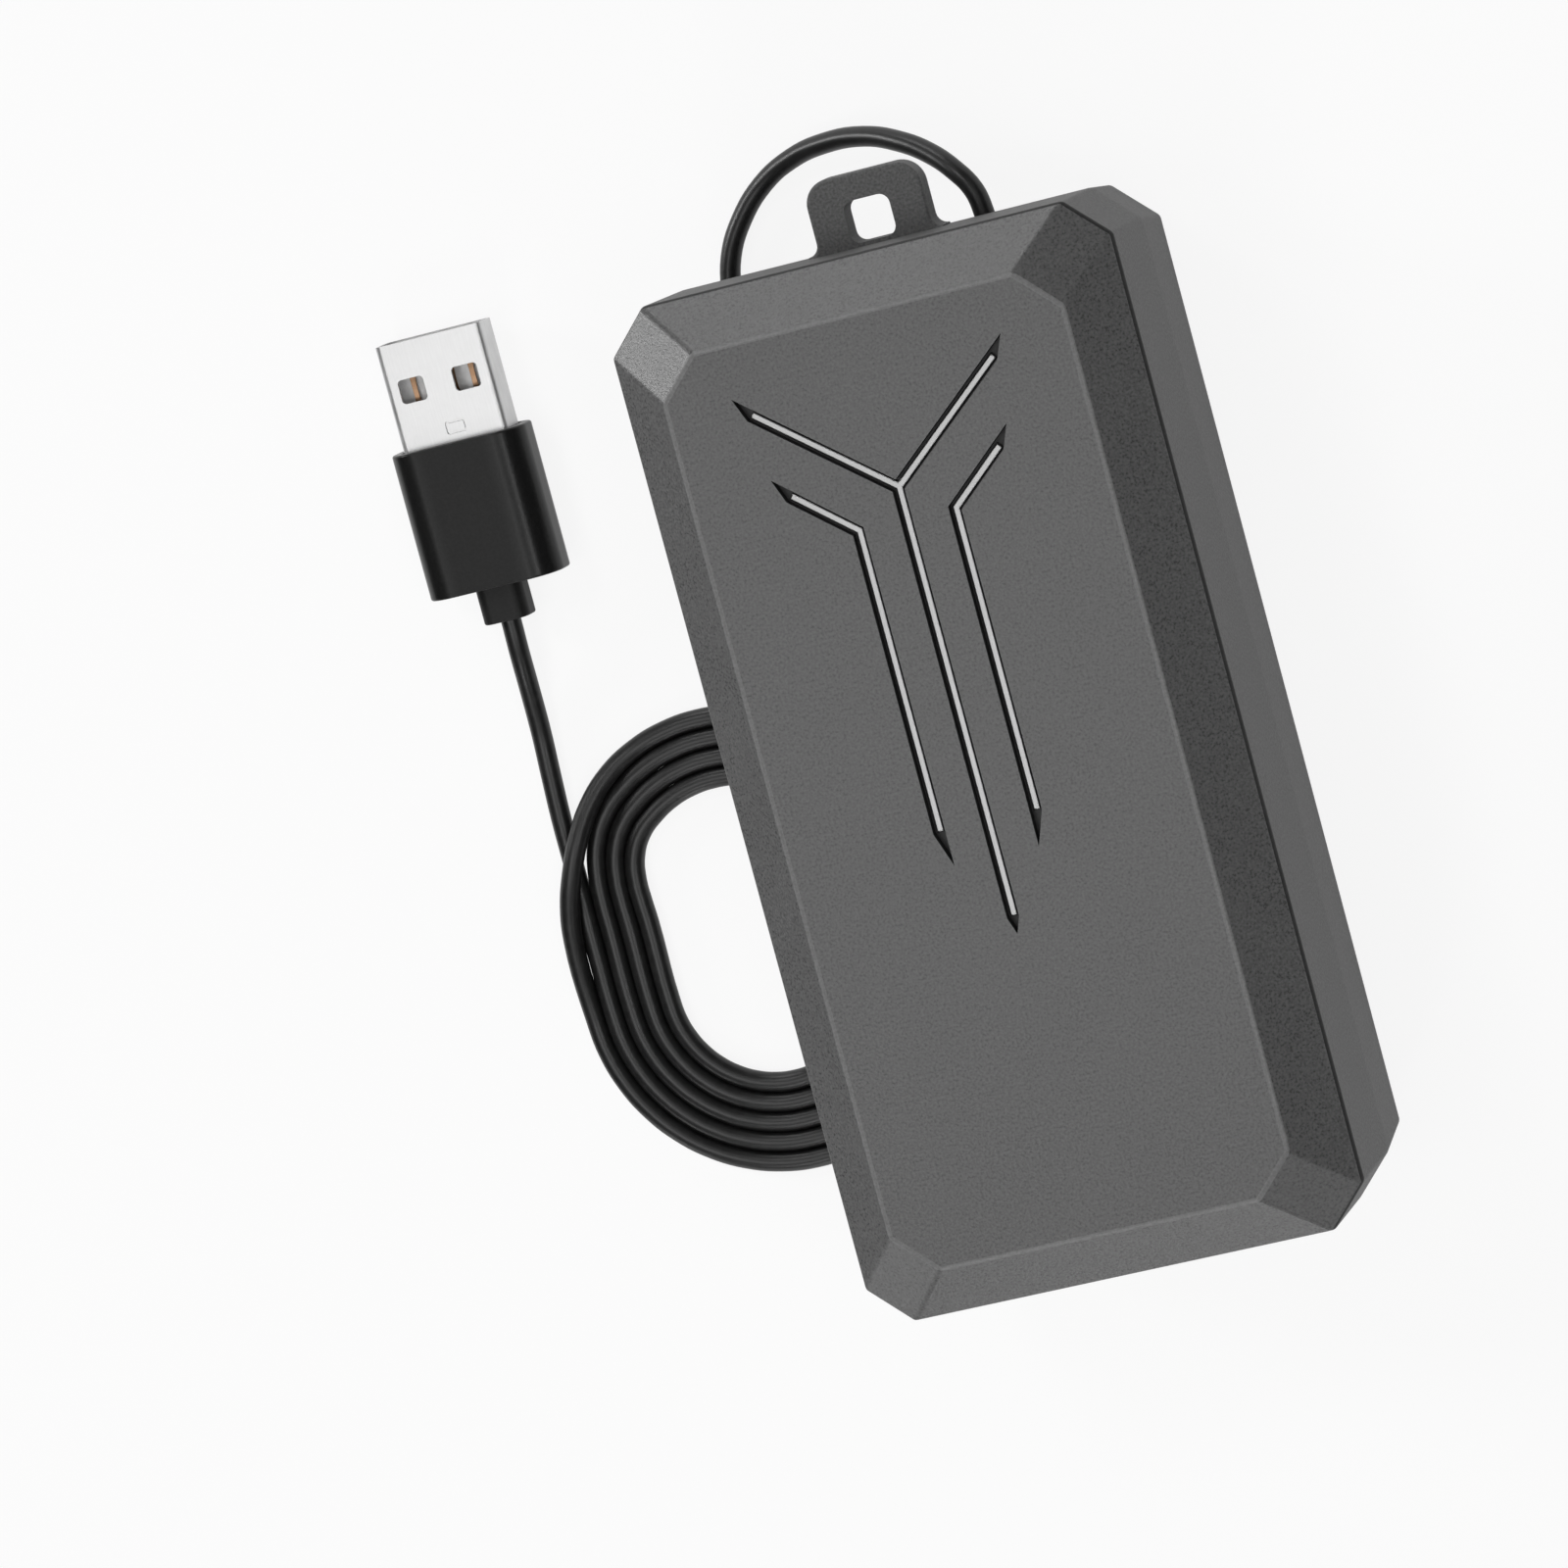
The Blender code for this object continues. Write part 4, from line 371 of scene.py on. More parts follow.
# %% Grip
GRIP_FLAT, GRIP_SHOULDER = 3.2, 5.6
GRIP_DULL, GRIP_POLISHED = 0.5, 0.28
GRIP_GRAIN = 0.3
grip_low, grip_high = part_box("plug_overmould")
place = start("plug_black")
grain = place.noise(1 / (GRIP_GRAIN * MM), 3.0)
across = place.node("ShaderNodeSeparateXYZ", {}, {"Vector": place}, "X")
away = place.sum("ABSOLUTE", across - (grip_low.x + grip_high.x) / 2)
polish = away.spread(GRIP_FLAT * MM, GRIP_SHOULDER * MM, GRIP_DULL, GRIP_POLISHED)
grip_colour = grain.mottle(grey(18), grey(24))
close(place, {"Base Color": grip_colour, "Roughness": polish, "Specular IOR Level": 0.3}, grain, 0.02)
print("finishes with the grip:", len(finishes))

# %% [markdown]
# ## Metals
# Plated steel is bright with faint rolling marks along the strip, so its noise is stretched along one axis.
# A Mapping node does that: it squeezes the coordinates across the marks before the noise reads them.

# %% Metals
STAIN_SCALE = 350.0
LINE_GLOSS, STAIN_GLOSS = 0.12, 0.08


def rolled(name, dark, light, roughness, marks=(4000, 300, 4000), depth=0.004, metallic=1.0):
    """A metal with fine marks along one axis: a low scale along it, and high ones across."""
    place = start(name)
    along = place.node("ShaderNodeMapping", {}, {"Vector": place, "Scale": marks})
    lines = along.noise(1.0, 3.0)
    stains = place.noise(STAIN_SCALE, 3.0)
    colour = (lines * 0.5 + stains * 0.5).mottle(dark, light)
    gloss = roughness + (lines - 0.5) * LINE_GLOSS + (stains - 0.5) * STAIN_GLOSS
    close(place, {"Base Color": colour, "Roughness": gloss, "Metallic": metallic}, lines, depth, 0.4)


rolled("bright_trim", grey(150), grey(168), 0.38)
rolled("screw_steel", grey(186), grey(206), 0.34, (900, 900, 900))
rolled("plug_steel", grey(208), grey(222), 0.42)
rolled("contact_gold", (0.24, 0.14, 0.08, 1), (0.34, 0.21, 0.13, 1), 0.34)
rolled("core_steel", grey(120), grey(150), 0.45, (60, 60, 2000), 0.05)
rolled("magnet_ferrite", grey(84), grey(104), 0.5, (1800, 1800, 1800), 0.02, 0.3)
rolled("winding_copper", (0.45, 0.15, 0.05, 1), (0.68, 0.28, 0.1, 1), 0.32, (200, 3200, 200), 0.09)
rolled("wire_enamel", (0.52, 0.34, 0.08, 1), (0.66, 0.46, 0.14, 1), 0.35, (1500, 1500, 1500), 0.005, 0.7)
rolled("capacitor_can", (0.03, 0.05, 0.17, 1), (0.05, 0.08, 0.24, 1), 0.3, (700, 700, 90), 0.01, 0.0)
print("finishes with metals:", len(finishes))

# %% [markdown]
# ## Felt and circuit board
# Felt is a mat of short fibres, so its bump is deep and its colour is uneven at the width of a fibre.
# A circuit board is glass cloth under green lacquer: a faint weave of two crossed waves, with copper lines.

# %% Felt and board
FIBRE_SCALE, TUFT_SCALE, FIBRE_SHARE = 2600.0, 600.0, 0.6
WEAVE_SCALE, TRACK_SCALE, TRACK_WIDTH = 600.0, 160.0, 0.08
place = start("felt_white")
fibres = place.noise(FIBRE_SCALE, 6.0)
tufts = place.noise(TUFT_SCALE, 4.0)
fluff = fibres * FIBRE_SHARE + tufts * (1 - FIBRE_SHARE)
felt_colour = fluff.mottle(grey(196), grey(240, (1, 0.99, 0.95)), 0.3, 0.7)
close(place, {"Base Color": felt_colour, "Roughness": 0.95}, fibres, 0.25, 0.8)

place = start("board_green")
waves = {"Vector": place, "Scale": WEAVE_SCALE}
weave_x = place.node("ShaderNodeTexWave", {"bands_direction": "X"}, waves, "Fac")
weave_y = place.node("ShaderNodeTexWave", {"bands_direction": "Y"}, waves, "Fac")
tracks = {"Vector": place, "Scale": TRACK_SCALE, "Mortar Size": TRACK_WIDTH}
lines = place.node("ShaderNodeTexBrick", {}, tracks, "Fac")
under = (weave_x * weave_y).blend((0.01, 0.12, 0.035, 1), (0.02, 0.2, 0.06, 1))
close(place, {"Base Color": lines.blend(under, (0.05, 0.3, 0.1, 1)), "Roughness": 0.3}, lines, 0.03)
print("finishes in all:", len(finishes))

# %% [markdown]
# ## Handing the finishes to the parts
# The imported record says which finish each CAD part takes, by the same names as above.
# A part whose shape is already right keeps its mesh and only gets its better material.

# %% Assign the finishes
slot_of = {subpart["node"]: subpart["material_slot"] for subpart in frame["record"]["subparts"]}
for node, finish in slot_of.items():
    for slot in frame["nodes"][node].material_slots:
        slot.material = finishes[finish]
cord.data.materials.append(finishes["cord_black"])
print("parts with a finish:", len(slot_of))

# %% [markdown]
# ## From a bmesh to a piece
# A bmesh is a mesh on the workbench: operators shape it there, and only then does it become an object.
# A piece that stands for a CAD part rides on that part's body and hides it, so one function does all three
# and no piece is left without a place.

# %% Make a piece and shade it
SAME_PLACE = 1e-7


def piece(name, shape, finish=None, node=None, body="root"):
    """Turns a bmesh into an object, and puts it in the place of a CAD part if one is named."""
    bmesh.ops.remove_doubles(shape, verts=shape.verts, dist=SAME_PLACE)
    bmesh.ops.recalc_face_normals(shape, faces=shape.faces)
    mesh = bpy.data.meshes.new(name)
    shape.to_mesh(mesh)
    shape.free()
    if finish:
        mesh.materials.append(finishes[finish])
    made = bpy.data.objects.new(name, mesh)
    bpy.context.scene.collection.objects.link(made)
    if node:
        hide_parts(node)
        if body:
            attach(made, body)
    return made


def soften(target, degrees=35):
    """Shades a piece smooth except over sharp edges, with large faces kept flat."""
    target.data.shade_smooth()
    target.data.set_sharp_from_angle(angle=math.radians(degrees))
    target.modifiers.new("even_normals", "WEIGHTED_NORMAL").keep_sharp = True


print("parts that a piece can stand for:", len(slot_of))

# %% [markdown]
# ## Joining and cutting
# Holes and ribs are separate small shapes, which a Boolean takes out of a moulding or joins to it.
# The Booleans could stay on the piece as modifiers, but there are dozens of them, so each result becomes
# the new mesh at once, and corners that the cut left almost on top of each other are merged.

# %% Booleans
SLIVER = 0.002


def carve(target, operation, shape):
    """Joins a shape to a piece or takes it away from it, and keeps only the result."""
    tool = piece("tool", shape)
    step = target.modifiers.new("step", "BOOLEAN")
    step.operation, step.solver, step.object = operation, "EXACT", tool
    solid = target.evaluated_get(bpy.context.evaluated_depsgraph_get())
    result = bpy.data.meshes.new_from_object(solid)
    target.modifiers.clear()
    bpy.data.objects.remove(tool)
    clean = bmesh.new()
    clean.from_mesh(result)
    bmesh.ops.remove_doubles(clean, verts=clean.verts, dist=SLIVER * MM)
    clean.to_mesh(target.data)
    clean.free()
    bpy.data.meshes.remove(result)


print("corners closer than", SLIVER, "mm are merged")

# %% [markdown]
# ## Extruding, turning and rounding
# A moulding starts as a flat outline. Extruding its face, level by level, gives the walls, and moving the
# corners inwards at each level gives the slopes. A bevel then rounds the edges as the mould's steel did.
# Round pieces start as a profile that is spun about an axis, as a lathe would turn them.

# %% Modelling helpers
ACROSS, ALONG, UP = (Vector(axis) for axis in ((1, 0, 0), (0, 1, 0), (0, 0, 1)))


def flat_face(shape, points):
    """One face through a ring of points."""
    return shape.faces.new([shape.verts.new(point) for point in points])


def raise_face(shape, face, shift, draw_in=0.0):
    """Extrudes a face by a shift, and moves its corners towards the case's middle by one step each way."""
    made = bmesh.ops.extrude_face_region(shape, geom=[face, *face.edges, *face.verts])["geom"]
    for corner in (item for item in made if isinstance(item, bmesh.types.BMVert)):
        corner.co += shift
        corner.co.x -= draw_in * math.copysign(1, corner.co.x)
        corner.co.y -= draw_in * math.copysign(1, corner.co.y - CASE_Y)
    return next(item for item in made if isinstance(item, bmesh.types.BMFace))


def bar(points, length, axis=UP):
    """A straight bar: a flat outline, extruded along an axis by a length in millimetres."""
    shape = bmesh.new()
    raise_face(shape, flat_face(shape, points), axis * (length * MM))
    return shape


def turned(profile, foot, axis=UP, steps=40):
    """A lathe shape: a profile of radius and height in millimetres, spun about an axis through its foot."""
    shape = bmesh.new()
    ring = [shape.verts.new((radius * MM, 0, height * MM)) for radius, height in profile]
    edges = [shape.edges.new(pair) for pair in zip(ring, ring[1:] + ring[:1])]
    bmesh.ops.spin(shape, geom=ring + edges, axis=UP, cent=(0, 0, 0), angle=2 * math.pi, steps=steps,
                   use_merge=True)
    bmesh.ops.remove_doubles(shape, verts=shape.verts, dist=SAME_PLACE)
    bmesh.ops.delete(shape, geom=[edge for edge in shape.edges if not edge.link_faces], context="EDGES")
    turn = UP.rotation_difference(axis).to_matrix().to_4x4()
    shape.transform(Matrix.Translation(foot) @ turn)
    return shape


def rod(radius, foot, length, axis=UP, steps=40):
    """A plain round rod, which drills a hole or stands as a post."""
    return turned([(0, 0), (radius, 0), (radius, length), (0, length)], foot, axis, steps)


def round_edges(shape, chosen, width, segments=3):
    """Bevels the edges that a test picks, by a width in millimetres."""
    edges = [edge for edge in shape.edges if chosen(edge)]
    bmesh.ops.bevel(shape, geom=edges, offset=width * MM, offset_type="OFFSET", affect="EDGES",
                    segments=segments, profile=0.5, material=-1, clamp_overlap=True)
    return len(edges)


print("axes:", [tuple(axis) for axis in (ACROSS, ALONG, UP)])

# %% [markdown]
# ## Drawing a case shell
# Both covers are trays with one outline, a rectangle with its corners cut off, so they share their helpers.
# The outline is extruded along the outside to the rim and back along the inside, and it moves in or out at
# each level. A block could be hollowed by a Boolean instead, but here each wall keeps its own slope, and one
# test finds the edges of the outer skin again for the bevel.

# %% Drawing a case shell
CORNER_CUT = 4.3
NEAR = 0.01


def case_outline(inset, z):
    """The case's rectangle with its corners cut off, a given way in from the widest."""
    half_x, half_y = HALF_WIDTH / MM - inset, HALF_LENGTH / MM - inset
    near_x, near_y = half_x - CORNER_CUT, half_y - CORNER_CUT
    right = [(near_x, -half_y), (half_x, -near_y), (half_x, near_y), (near_x, half_y)]
    left = [(-x, -y) for x, y in right]
    return [at(x, y, z) for x, y in right + left]


def case_shell(first_inset, first_z, levels):
    """A shell drawn level by level: a height, and how far the outline moves in on the way there."""
    shape = bmesh.new()
    face = flat_face(shape, case_outline(first_inset, first_z))
    height = first_z
    for z, inset in levels:
        face = raise_face(shape, face, UP * ((z - height) * MM), inset * MM)
        height = z
    return shape


def on_skin(skin):
    """A test for edges of the outer skin, whose corners are known by their height and inset."""
    def outer(corner):
        inset = min(HALF_WIDTH - abs(corner.co.x), HALF_LENGTH - abs(corner.co.y - CASE_Y)) / MM
        height = corner.co.z / MM
        return any(abs(height - z) < NEAR and abs(inset - known) < NEAR for z, known in skin.items())
    return lambda edge: all(outer(corner) for corner in edge.verts)


print("outline corners:", len(case_outline(0, 0)))

# %% [markdown]
# ## The front cover
# The front cover is a shallow tray, upside down: a flat octagon with a broad slope round it, down to a rim.
# Its levels go from the front face to the rim, in under the rim, round the lip that centres it in the rear
# cover, and up to the ceiling.
# Only the edges that a finger would touch are bevelled. They are what catches the thin light lines, and those
# round the front face also get a lighter finish, a painted highlight that strengthens their light lines.

# %% Front cover shell
SLOPE_INSET = 5.55
SLOPE_DEPTH = 4.7
RIM_WIDTH = 2.3
LIP_HEIGHT = 2.0
LIP_WIDTH = 1.0
COVER_WALL = 2.0
EDGE_ROUND = 0.3
front_z = Z_FRONT / MM
seam_z = front_z - SLOPE_DEPTH
lip_z = seam_z - LIP_HEIGHT
ceiling_inset = SLOPE_INSET * (SLOPE_DEPTH - COVER_WALL) / SLOPE_DEPTH
front_levels = [(seam_z, -SLOPE_INSET), (seam_z, RIM_WIDTH), (lip_z, 0), (lip_z, LIP_WIDTH),
                (seam_z, 0), (front_z - COVER_WALL, ceiling_inset)]
front_shell = case_shell(SLOPE_INSET, front_z, front_levels)
rounded = round_edges(front_shell, on_skin({front_z: SLOPE_INSET, seam_z: 0.0}), EDGE_ROUND)
# The narrow bevel faces next to the front face take the second finish, a painted highlight for their light
# lines.
for face in front_shell.faces:
    narrow = min(edge.calc_length() for edge in face.edges) < EDGE_ROUND * MM
    face.material_index = int(narrow and face.calc_center_median().z / MM > front_z - EDGE_ROUND)
front_cover = piece("front_shell", front_shell, "case_grey", "front_cover")
front_cover.data.materials.append(finishes["case_edge_highlight"])
print("front cover edges rounded:", rounded)

# %% [markdown]
# ## The ornament grooves
# Three grooves run over the front: one like a long letter Y, and a bent one on each side of it.
# Each is a thin line with mitred bends and slanted ends, so two short functions work out the outlines.
# The bright strips in the grooves follow the same lines at another width, with square ends.

# %% Groove outlines
GROOVE_WIDTH = 1.3
GROOVE_DEPTH = 1.1
ARM_SLANT = 2.4
LEG_SLANT = 3.6
STEM_POINT = 1.8
Y_ARM_END = Vector((14.9, 42.5))
Y_JUNCTION = Vector((0.0, 30.4))
Y_STEM_TIP = (0.0, -16.5)
SIDE_ARM_END = Vector((13.1, 33.6))
SIDE_BEND = Vector((5.2, 27.0))
SIDE_LEG_END = Vector((5.2, -8.3))


def mirrored(points):
    """The same points on the other side of the middle line, in the order that goes on round the outline."""
    return [(-x, y) for x, y in reversed(points)]


def side_outline(half, pointed):
    """A bent line of one width, with a mitred bend and, if pointed, slanted ends."""
    arm = (SIDE_ARM_END - SIDE_BEND).normalized()
    leg = (SIDE_LEG_END - SIDE_BEND).normalized()
    arm_in, leg_in = Vector((-arm.y, arm.x)) * half, Vector((leg.y, -leg.x)) * half
    mitre = (arm_in + leg_in) / (1 + arm_in.dot(leg_in) / half**2)
    arm_stop, leg_stop = SIDE_ARM_END - arm * ARM_SLANT, SIDE_LEG_END - leg * LEG_SLANT
    inner_ends = (SIDE_ARM_END, SIDE_LEG_END) if pointed else (arm_stop, leg_stop)
    inner = [inner_ends[0] + arm_in, SIDE_BEND + mitre, inner_ends[1] + leg_in]
    return [tuple(p) for p in inner + [leg_stop - leg_in, SIDE_BEND - mitre, arm_stop - arm_in]]


def y_outline(half, pointed):
    """Two arms that meet in a stem, all of one width."""
    arm = (Y_ARM_END - Y_JUNCTION).normalized()
    arm_in = Vector((-arm.y, arm.x)) * half
    arm_stop = Y_ARM_END - arm * ARM_SLANT
    crotch = (half, Y_JUNCTION.y - half * (1 - arm.y) / arm.x)
    tip = Y_ARM_END if pointed else arm_stop
    right = [tuple(tip + arm_in), tuple(arm_stop - arm_in), crotch, (half, Y_STEM_TIP[1] + STEM_POINT)]
    foot = [Y_STEM_TIP] if pointed else []
    return [(0, Y_JUNCTION.y + half / arm.x)] + right + foot + mirrored(right)


def ornament(half, pointed):
    """The three outlines by name."""
    side = side_outline(half, pointed)
    return {"centre": y_outline(half, pointed), "right": side, "left": mirrored(side)}


print("groove corners:", [len(points) for points in ornament(GROOVE_WIDTH / 2, True).values()])

# %% [markdown]
# ## Cutting and painting the grooves
# A bar extruded from each outline is taken out of the cover. The groove faces are then made nearly black, a
# painted shade for the deep narrow grooves. A mask in the shader could do that, but the new faces are easy to
# find by their place, below the front face and within the ornament's reach, so they simply take a third
# finish.

# %% Cut the grooves and paint them
CLEARANCE = 1.0
# Painted shade: a near-black finish for the groove faces, and later for the rear cover's rim, stands in for
# the shade inside the grooves and the seam.
SHADE_PAINT_INDEX = 2
moulded("painted_shade_black", grey(34), grey(44), 0.55, 0.28, 0.04)
front_cover.data.materials.append(finishes["painted_shade_black"])
for points in ornament(GROOVE_WIDTH / 2, True).values():
    lid = [at(x, y, front_z + CLEARANCE) for x, y in points]
    carve(front_cover, "DIFFERENCE", bar(lid, -(CLEARANCE + GROOVE_DEPTH)))
groove_floor = front_z - GROOVE_DEPTH
painted = 0
# The groove walls and floors take the painted shade.
for face in front_cover.data.polygons:
    lowest = min(front_cover.data.vertices[index].co.z for index in face.vertices) / MM
    x, y, z = face.center.x / MM, (face.center.y - CASE_Y) / MM, face.center.z / MM
    reached = abs(x) < Y_ARM_END.x + GROOVE_WIDTH and Y_STEM_TIP[1] < y < Y_ARM_END.y + GROOVE_WIDTH
    if reached and lowest > groove_floor - NEAR and z < front_z - NEAR:
        face.material_index = SHADE_PAINT_INDEX
        painted += 1
print("painted groove faces:", painted)

# %% [markdown]
# ## The screw posts under the front cover
# Four posts hang from the ceiling, where the case screws bite. They sit where the screws are in the frame,
# so the posts are placed by the screws' own boxes and not by a second copy of their sizes.

# %% Posts
POST_RADIUS = 3.2
SCREW_BITE = 6.0
PILOT_RADIUS = 1.4
PILOT_SPARE = 0.3


def numbered(name, count=4):
    """The names of CAD parts that come in a set."""
    return [f"{name}_{number}" for number in range(1, count + 1)]


def middle(node):
    """The middle of a CAD part's box."""
    low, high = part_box(node)
    return (low + high) / 2


def above_floor(point, z):
    """The point moved to a height in millimetres."""
    return Vector((point.x, point.y, z * MM))


case_screws = numbered("case_screw")
post_foot = seam_z - SCREW_BITE
pilot_length = CLEARANCE + SCREW_BITE + PILOT_SPARE
for node in case_screws:
    foot = above_floor(middle(node), post_foot)
    carve(front_cover, "UNION", rod(POST_RADIUS, foot, front_z - COVER_WALL / 2 - post_foot))
    carve(front_cover, "DIFFERENCE", rod(PILOT_RADIUS, foot - UP * (CLEARANCE * MM), pilot_length, steps=20))
print("front cover faces:", len(front_cover.data.polygons))

# %% [markdown]
# ## The bright strips
# A thin metal strip lies on the floor of each groove. It follows the same outline at its own width and stops
# where the groove's end begins to slant. A bevel with many steps rounds its shoulders, so that it shows
# one soft light line along its flat top and darker flanks.

# %% Strips
STRIP_WIDTH = 0.8
STRIP_HEIGHT = 0.5
STRIP_LIFT = 0.002
STRIP_ROUND, STRIP_SEGMENTS = 0.2, 6
for name, points in ornament(STRIP_WIDTH / 2, False).items():
    shape = bar([at(x, y, groove_floor + STRIP_LIFT) for x, y in points], STRIP_HEIGHT)
    halfway = (groove_floor + STRIP_HEIGHT / 2) * MM
    round_edges(shape, lambda edge: all(v.co.z > halfway for v in edge.verts), STRIP_ROUND, STRIP_SEGMENTS)
    strip = piece(f"strip_{name}", shape, "bright_trim", f"trim_{name}")
    soften(strip, 50)
    print(strip.name, len(strip.data.polygons), "faces")

# %% [markdown]
# ## The rear cover
# The rear cover is a deep tub. Its wall leans out a little from the foot to a faint ridge, and stands almost
# straight from there to the seam, which is how a moulding gets out of its mould.
# The shell is drawn level by level again, first outside and then inside, and its outer edges are rounded.
# Its rim stays a little below the front cover, and its top is made near-black, a painted shadow that draws
# the dark seam round the case.

# %% Rear cover shell
REAR_Z = 5.2
TAPER_Z = 6.2
RIDGE_Z = 17.6
SEAM_GAP = 0.55
FLOOR_Z = REAR_Z + COVER_WALL
REAR_INSET = 2.1
TAPER_INSET = 1.1
RIDGE_INSET = 0.2
rim_z = seam_z - SEAM_GAP
outside = [(TAPER_Z, TAPER_INSET - REAR_INSET), (RIDGE_Z, RIDGE_INSET - TAPER_INSET), (rim_z, -RIDGE_INSET)]
inside = [(rim_z, COVER_WALL), (RIDGE_Z, RIDGE_INSET), (FLOOR_Z, TAPER_INSET - RIDGE_INSET)]
rear_shell = case_shell(REAR_INSET, REAR_Z, outside + inside)
rear_skin = {REAR_Z: REAR_INSET, TAPER_Z: TAPER_INSET, RIDGE_Z: RIDGE_INSET, rim_z: 0.0}
rounded = round_edges(rear_shell, on_skin(rear_skin), EDGE_ROUND)
rear_cover = piece("rear_shell", rear_shell, "tub_grey", "rear_cover")
rear_cover.data.materials.append(finishes["painted_shade_black"])
# The rim's top and its rounded edge take the near-black finish, a painted shadow for the seam.
for face in rear_cover.data.polygons:
    face.material_index = int(face.center.z / MM > rim_z - EDGE_ROUND)
print("rear cover edges rounded:", rounded)

# %% [markdown]
# ## The hanger tab
# A flat tab with round corners stands on the end wall, with a squarish hole for a screw head or a hook.
# Its outline is half a tab, mirrored, with a small flare where it grows out of the wall.

# %% Tab
TAB_HALF = 6.2
TAB_REACH = 7.4
TAB_ROOT = 1.2
TAB_CORNER = 2.6
TAB_FLARE = 1.2
TAB_LOW, TAB_HIGH = 18.0, 21.0
TAB_HOLE = (5.0, 4.4)
TAB_HOLE_CORNER = 1.1
TAB_HOLE_RISE = 0.25
TAB_ROUND = 0.4
LEVEL = 1e-6
Y, Z = 1, 2


def arc(centre, radius, start_angle, end_angle, steps):
    """Points on part of a circle, angles in degrees."""
    points = []
    for step in range(steps + 1):
        turn = math.radians(start_angle + (end_angle - start_angle) * step / steps)
        points.append((centre[0] + radius * math.cos(turn), centre[1] + radius * math.sin(turn)))
    return points


def rounded_rectangle(half_x, half_y, corner, steps=6):
    """A rectangle about the middle, drawn as four corner arcs."""
    x, y = half_x - corner, half_y - corner
    points = []
    for turn, centre in enumerate([(x, y), (-x, y), (-x, -y), (x, -y)]):
        points += arc(centre, corner, 90 * turn, 90 * turn + 90, steps)
    return points


def is_level(edge, axis):
    """True for an edge whose two ends lie equally far along an axis."""
    return abs(edge.verts[0].co[axis] - edge.verts[1].co[axis]) < LEVEL


half_length = HALF_LENGTH / MM
tab_top = half_length + TAB_REACH
tab_right = [(TAB_HALF + TAB_FLARE, half_length - TAB_ROOT)]
tab_right += arc((TAB_HALF + TAB_FLARE, half_length + TAB_FLARE), TAB_FLARE, 270, 180, 6)
tab_right += arc((TAB_HALF - TAB_CORNER, tab_top - TAB_CORNER), TAB_CORNER, 0, 90, 10)
tab_outline = [at(x, y, TAB_LOW) for x, y in tab_right + mirrored(tab_right)]
tab = bar(tab_outline, TAB_HIGH - TAB_LOW)
round_edges(tab, lambda edge: is_level(edge, Z), TAB_ROUND)
carve(rear_cover, "UNION", tab)
hole_y = half_length + TAB_HOLE_RISE + TAB_HOLE[1] / 2
hole_outline = rounded_rectangle(TAB_HOLE[0] / 2, TAB_HOLE[1] / 2, TAB_HOLE_CORNER)
hole = [at(x, y + hole_y, TAB_LOW - CLEARANCE) for x, y in hole_outline]
carve(rear_cover, "DIFFERENCE", bar(hole, TAB_HIGH - TAB_LOW + 2 * CLEARANCE))
print("tab reaches", TAB_REACH, "mm past the case")

# %% [markdown]
# ## What stands on the rear cover's floor
# Inside stand the screw bosses, the pins for the rubber dampers, two posts for the circuit board, the ring
# round the intake felt and the tube round the air outlet. Each is a turned shape joined to the floor or wall.

# %% Bosses, pins, posts, ring and tube
SUNK_Z = FLOOR_Z - COVER_WALL / 2
BOSS_TOP = rim_z - SCREW_BITE
PIN_RADIUS, PIN_TOP = 1.4, 11.3
BOARD_POST_RADIUS, BOARD_POST_TOP = 2.2, 9.2
RING_INNER, RING_OUTER, RING_TOP = 5.3, 6.3, 9.8
OUTLET_TUBE_RADIUS, OUTLET_TUBE_LENGTH = 6.3, 8.9
board_screws = numbered("board_screw", 2)


def stand_up(node, radius, top, steps=24):
    """Joins a round post to the floor where a CAD part is, up to a height."""
    post = rod(radius, above_floor(middle(node), SUNK_Z), top - SUNK_Z, steps=steps)
    carve(rear_cover, "UNION", post)


for node in case_screws:
    stand_up(node, POST_RADIUS, BOSS_TOP, 40)
for node in numbered("damper_bush"):
    stand_up(node, PIN_RADIUS, PIN_TOP)
for node in board_screws:
    stand_up(node, BOARD_POST_RADIUS, BOARD_POST_TOP)
ring_height = RING_TOP - SUNK_Z
ring = [(RING_INNER, 0), (RING_OUTER, 0), (RING_OUTER, ring_height), (RING_INNER, ring_height)]
carve(rear_cover, "UNION", turned(ring, above_floor(middle("intake_felt"), SUNK_Z)))
outlet = middle("outlet_nipple")
outlet_face = Vector((outlet.x, CASE_Y - HALF_LENGTH, outlet.z))
tube_foot = outlet_face + ALONG * ((TAPER_INSET + COVER_WALL / 2) * MM)
carve(rear_cover, "UNION", rod(OUTLET_TUBE_RADIUS, tube_foot, OUTLET_TUBE_LENGTH, ALONG))
print("rear cover faces:", len(rear_cover.data.polygons))

# %% [markdown]
# ## The holes in the rear cover
# The screws go up through stepped holes, the feet plug into four more, air comes in through a ring of six
# small ones under the felt, and the outlet and the cord have round openings in the two end walls.

# %% Holes
SCREW_POCKET_RADIUS, SCREW_SEAT = 2.5, 4.0
FOOT_HOLE_RADIUS = 2.1
BOARD_PILOT_RADIUS, BOARD_PILOT_FLOOR = 1.1, 0.3
INTAKE_RADIUS, INTAKE_RING, INTAKE_HOLES = 0.7, 3.0, 6
OUTLET_POCKET_RADIUS, OUTLET_POCKET_DEPTH = 4.9, 9.0
NIPPLE_HOLE_RADIUS, NIPPLE_HOLE_DEPTH = 2.3, 12.0
GROMMET_HOLE_RADIUS, GROMMET_HOLE_DEPTH = 2.5, 5.0
below = REAR_Z - CLEARANCE
feet = numbered("foot")


def drill(radius, place, low, high, steps=24):
    """Takes an upright round hole out of the rear cover, between two heights."""
    carve(rear_cover, "DIFFERENCE", rod(radius, above_floor(place, low), high - low, steps=steps))


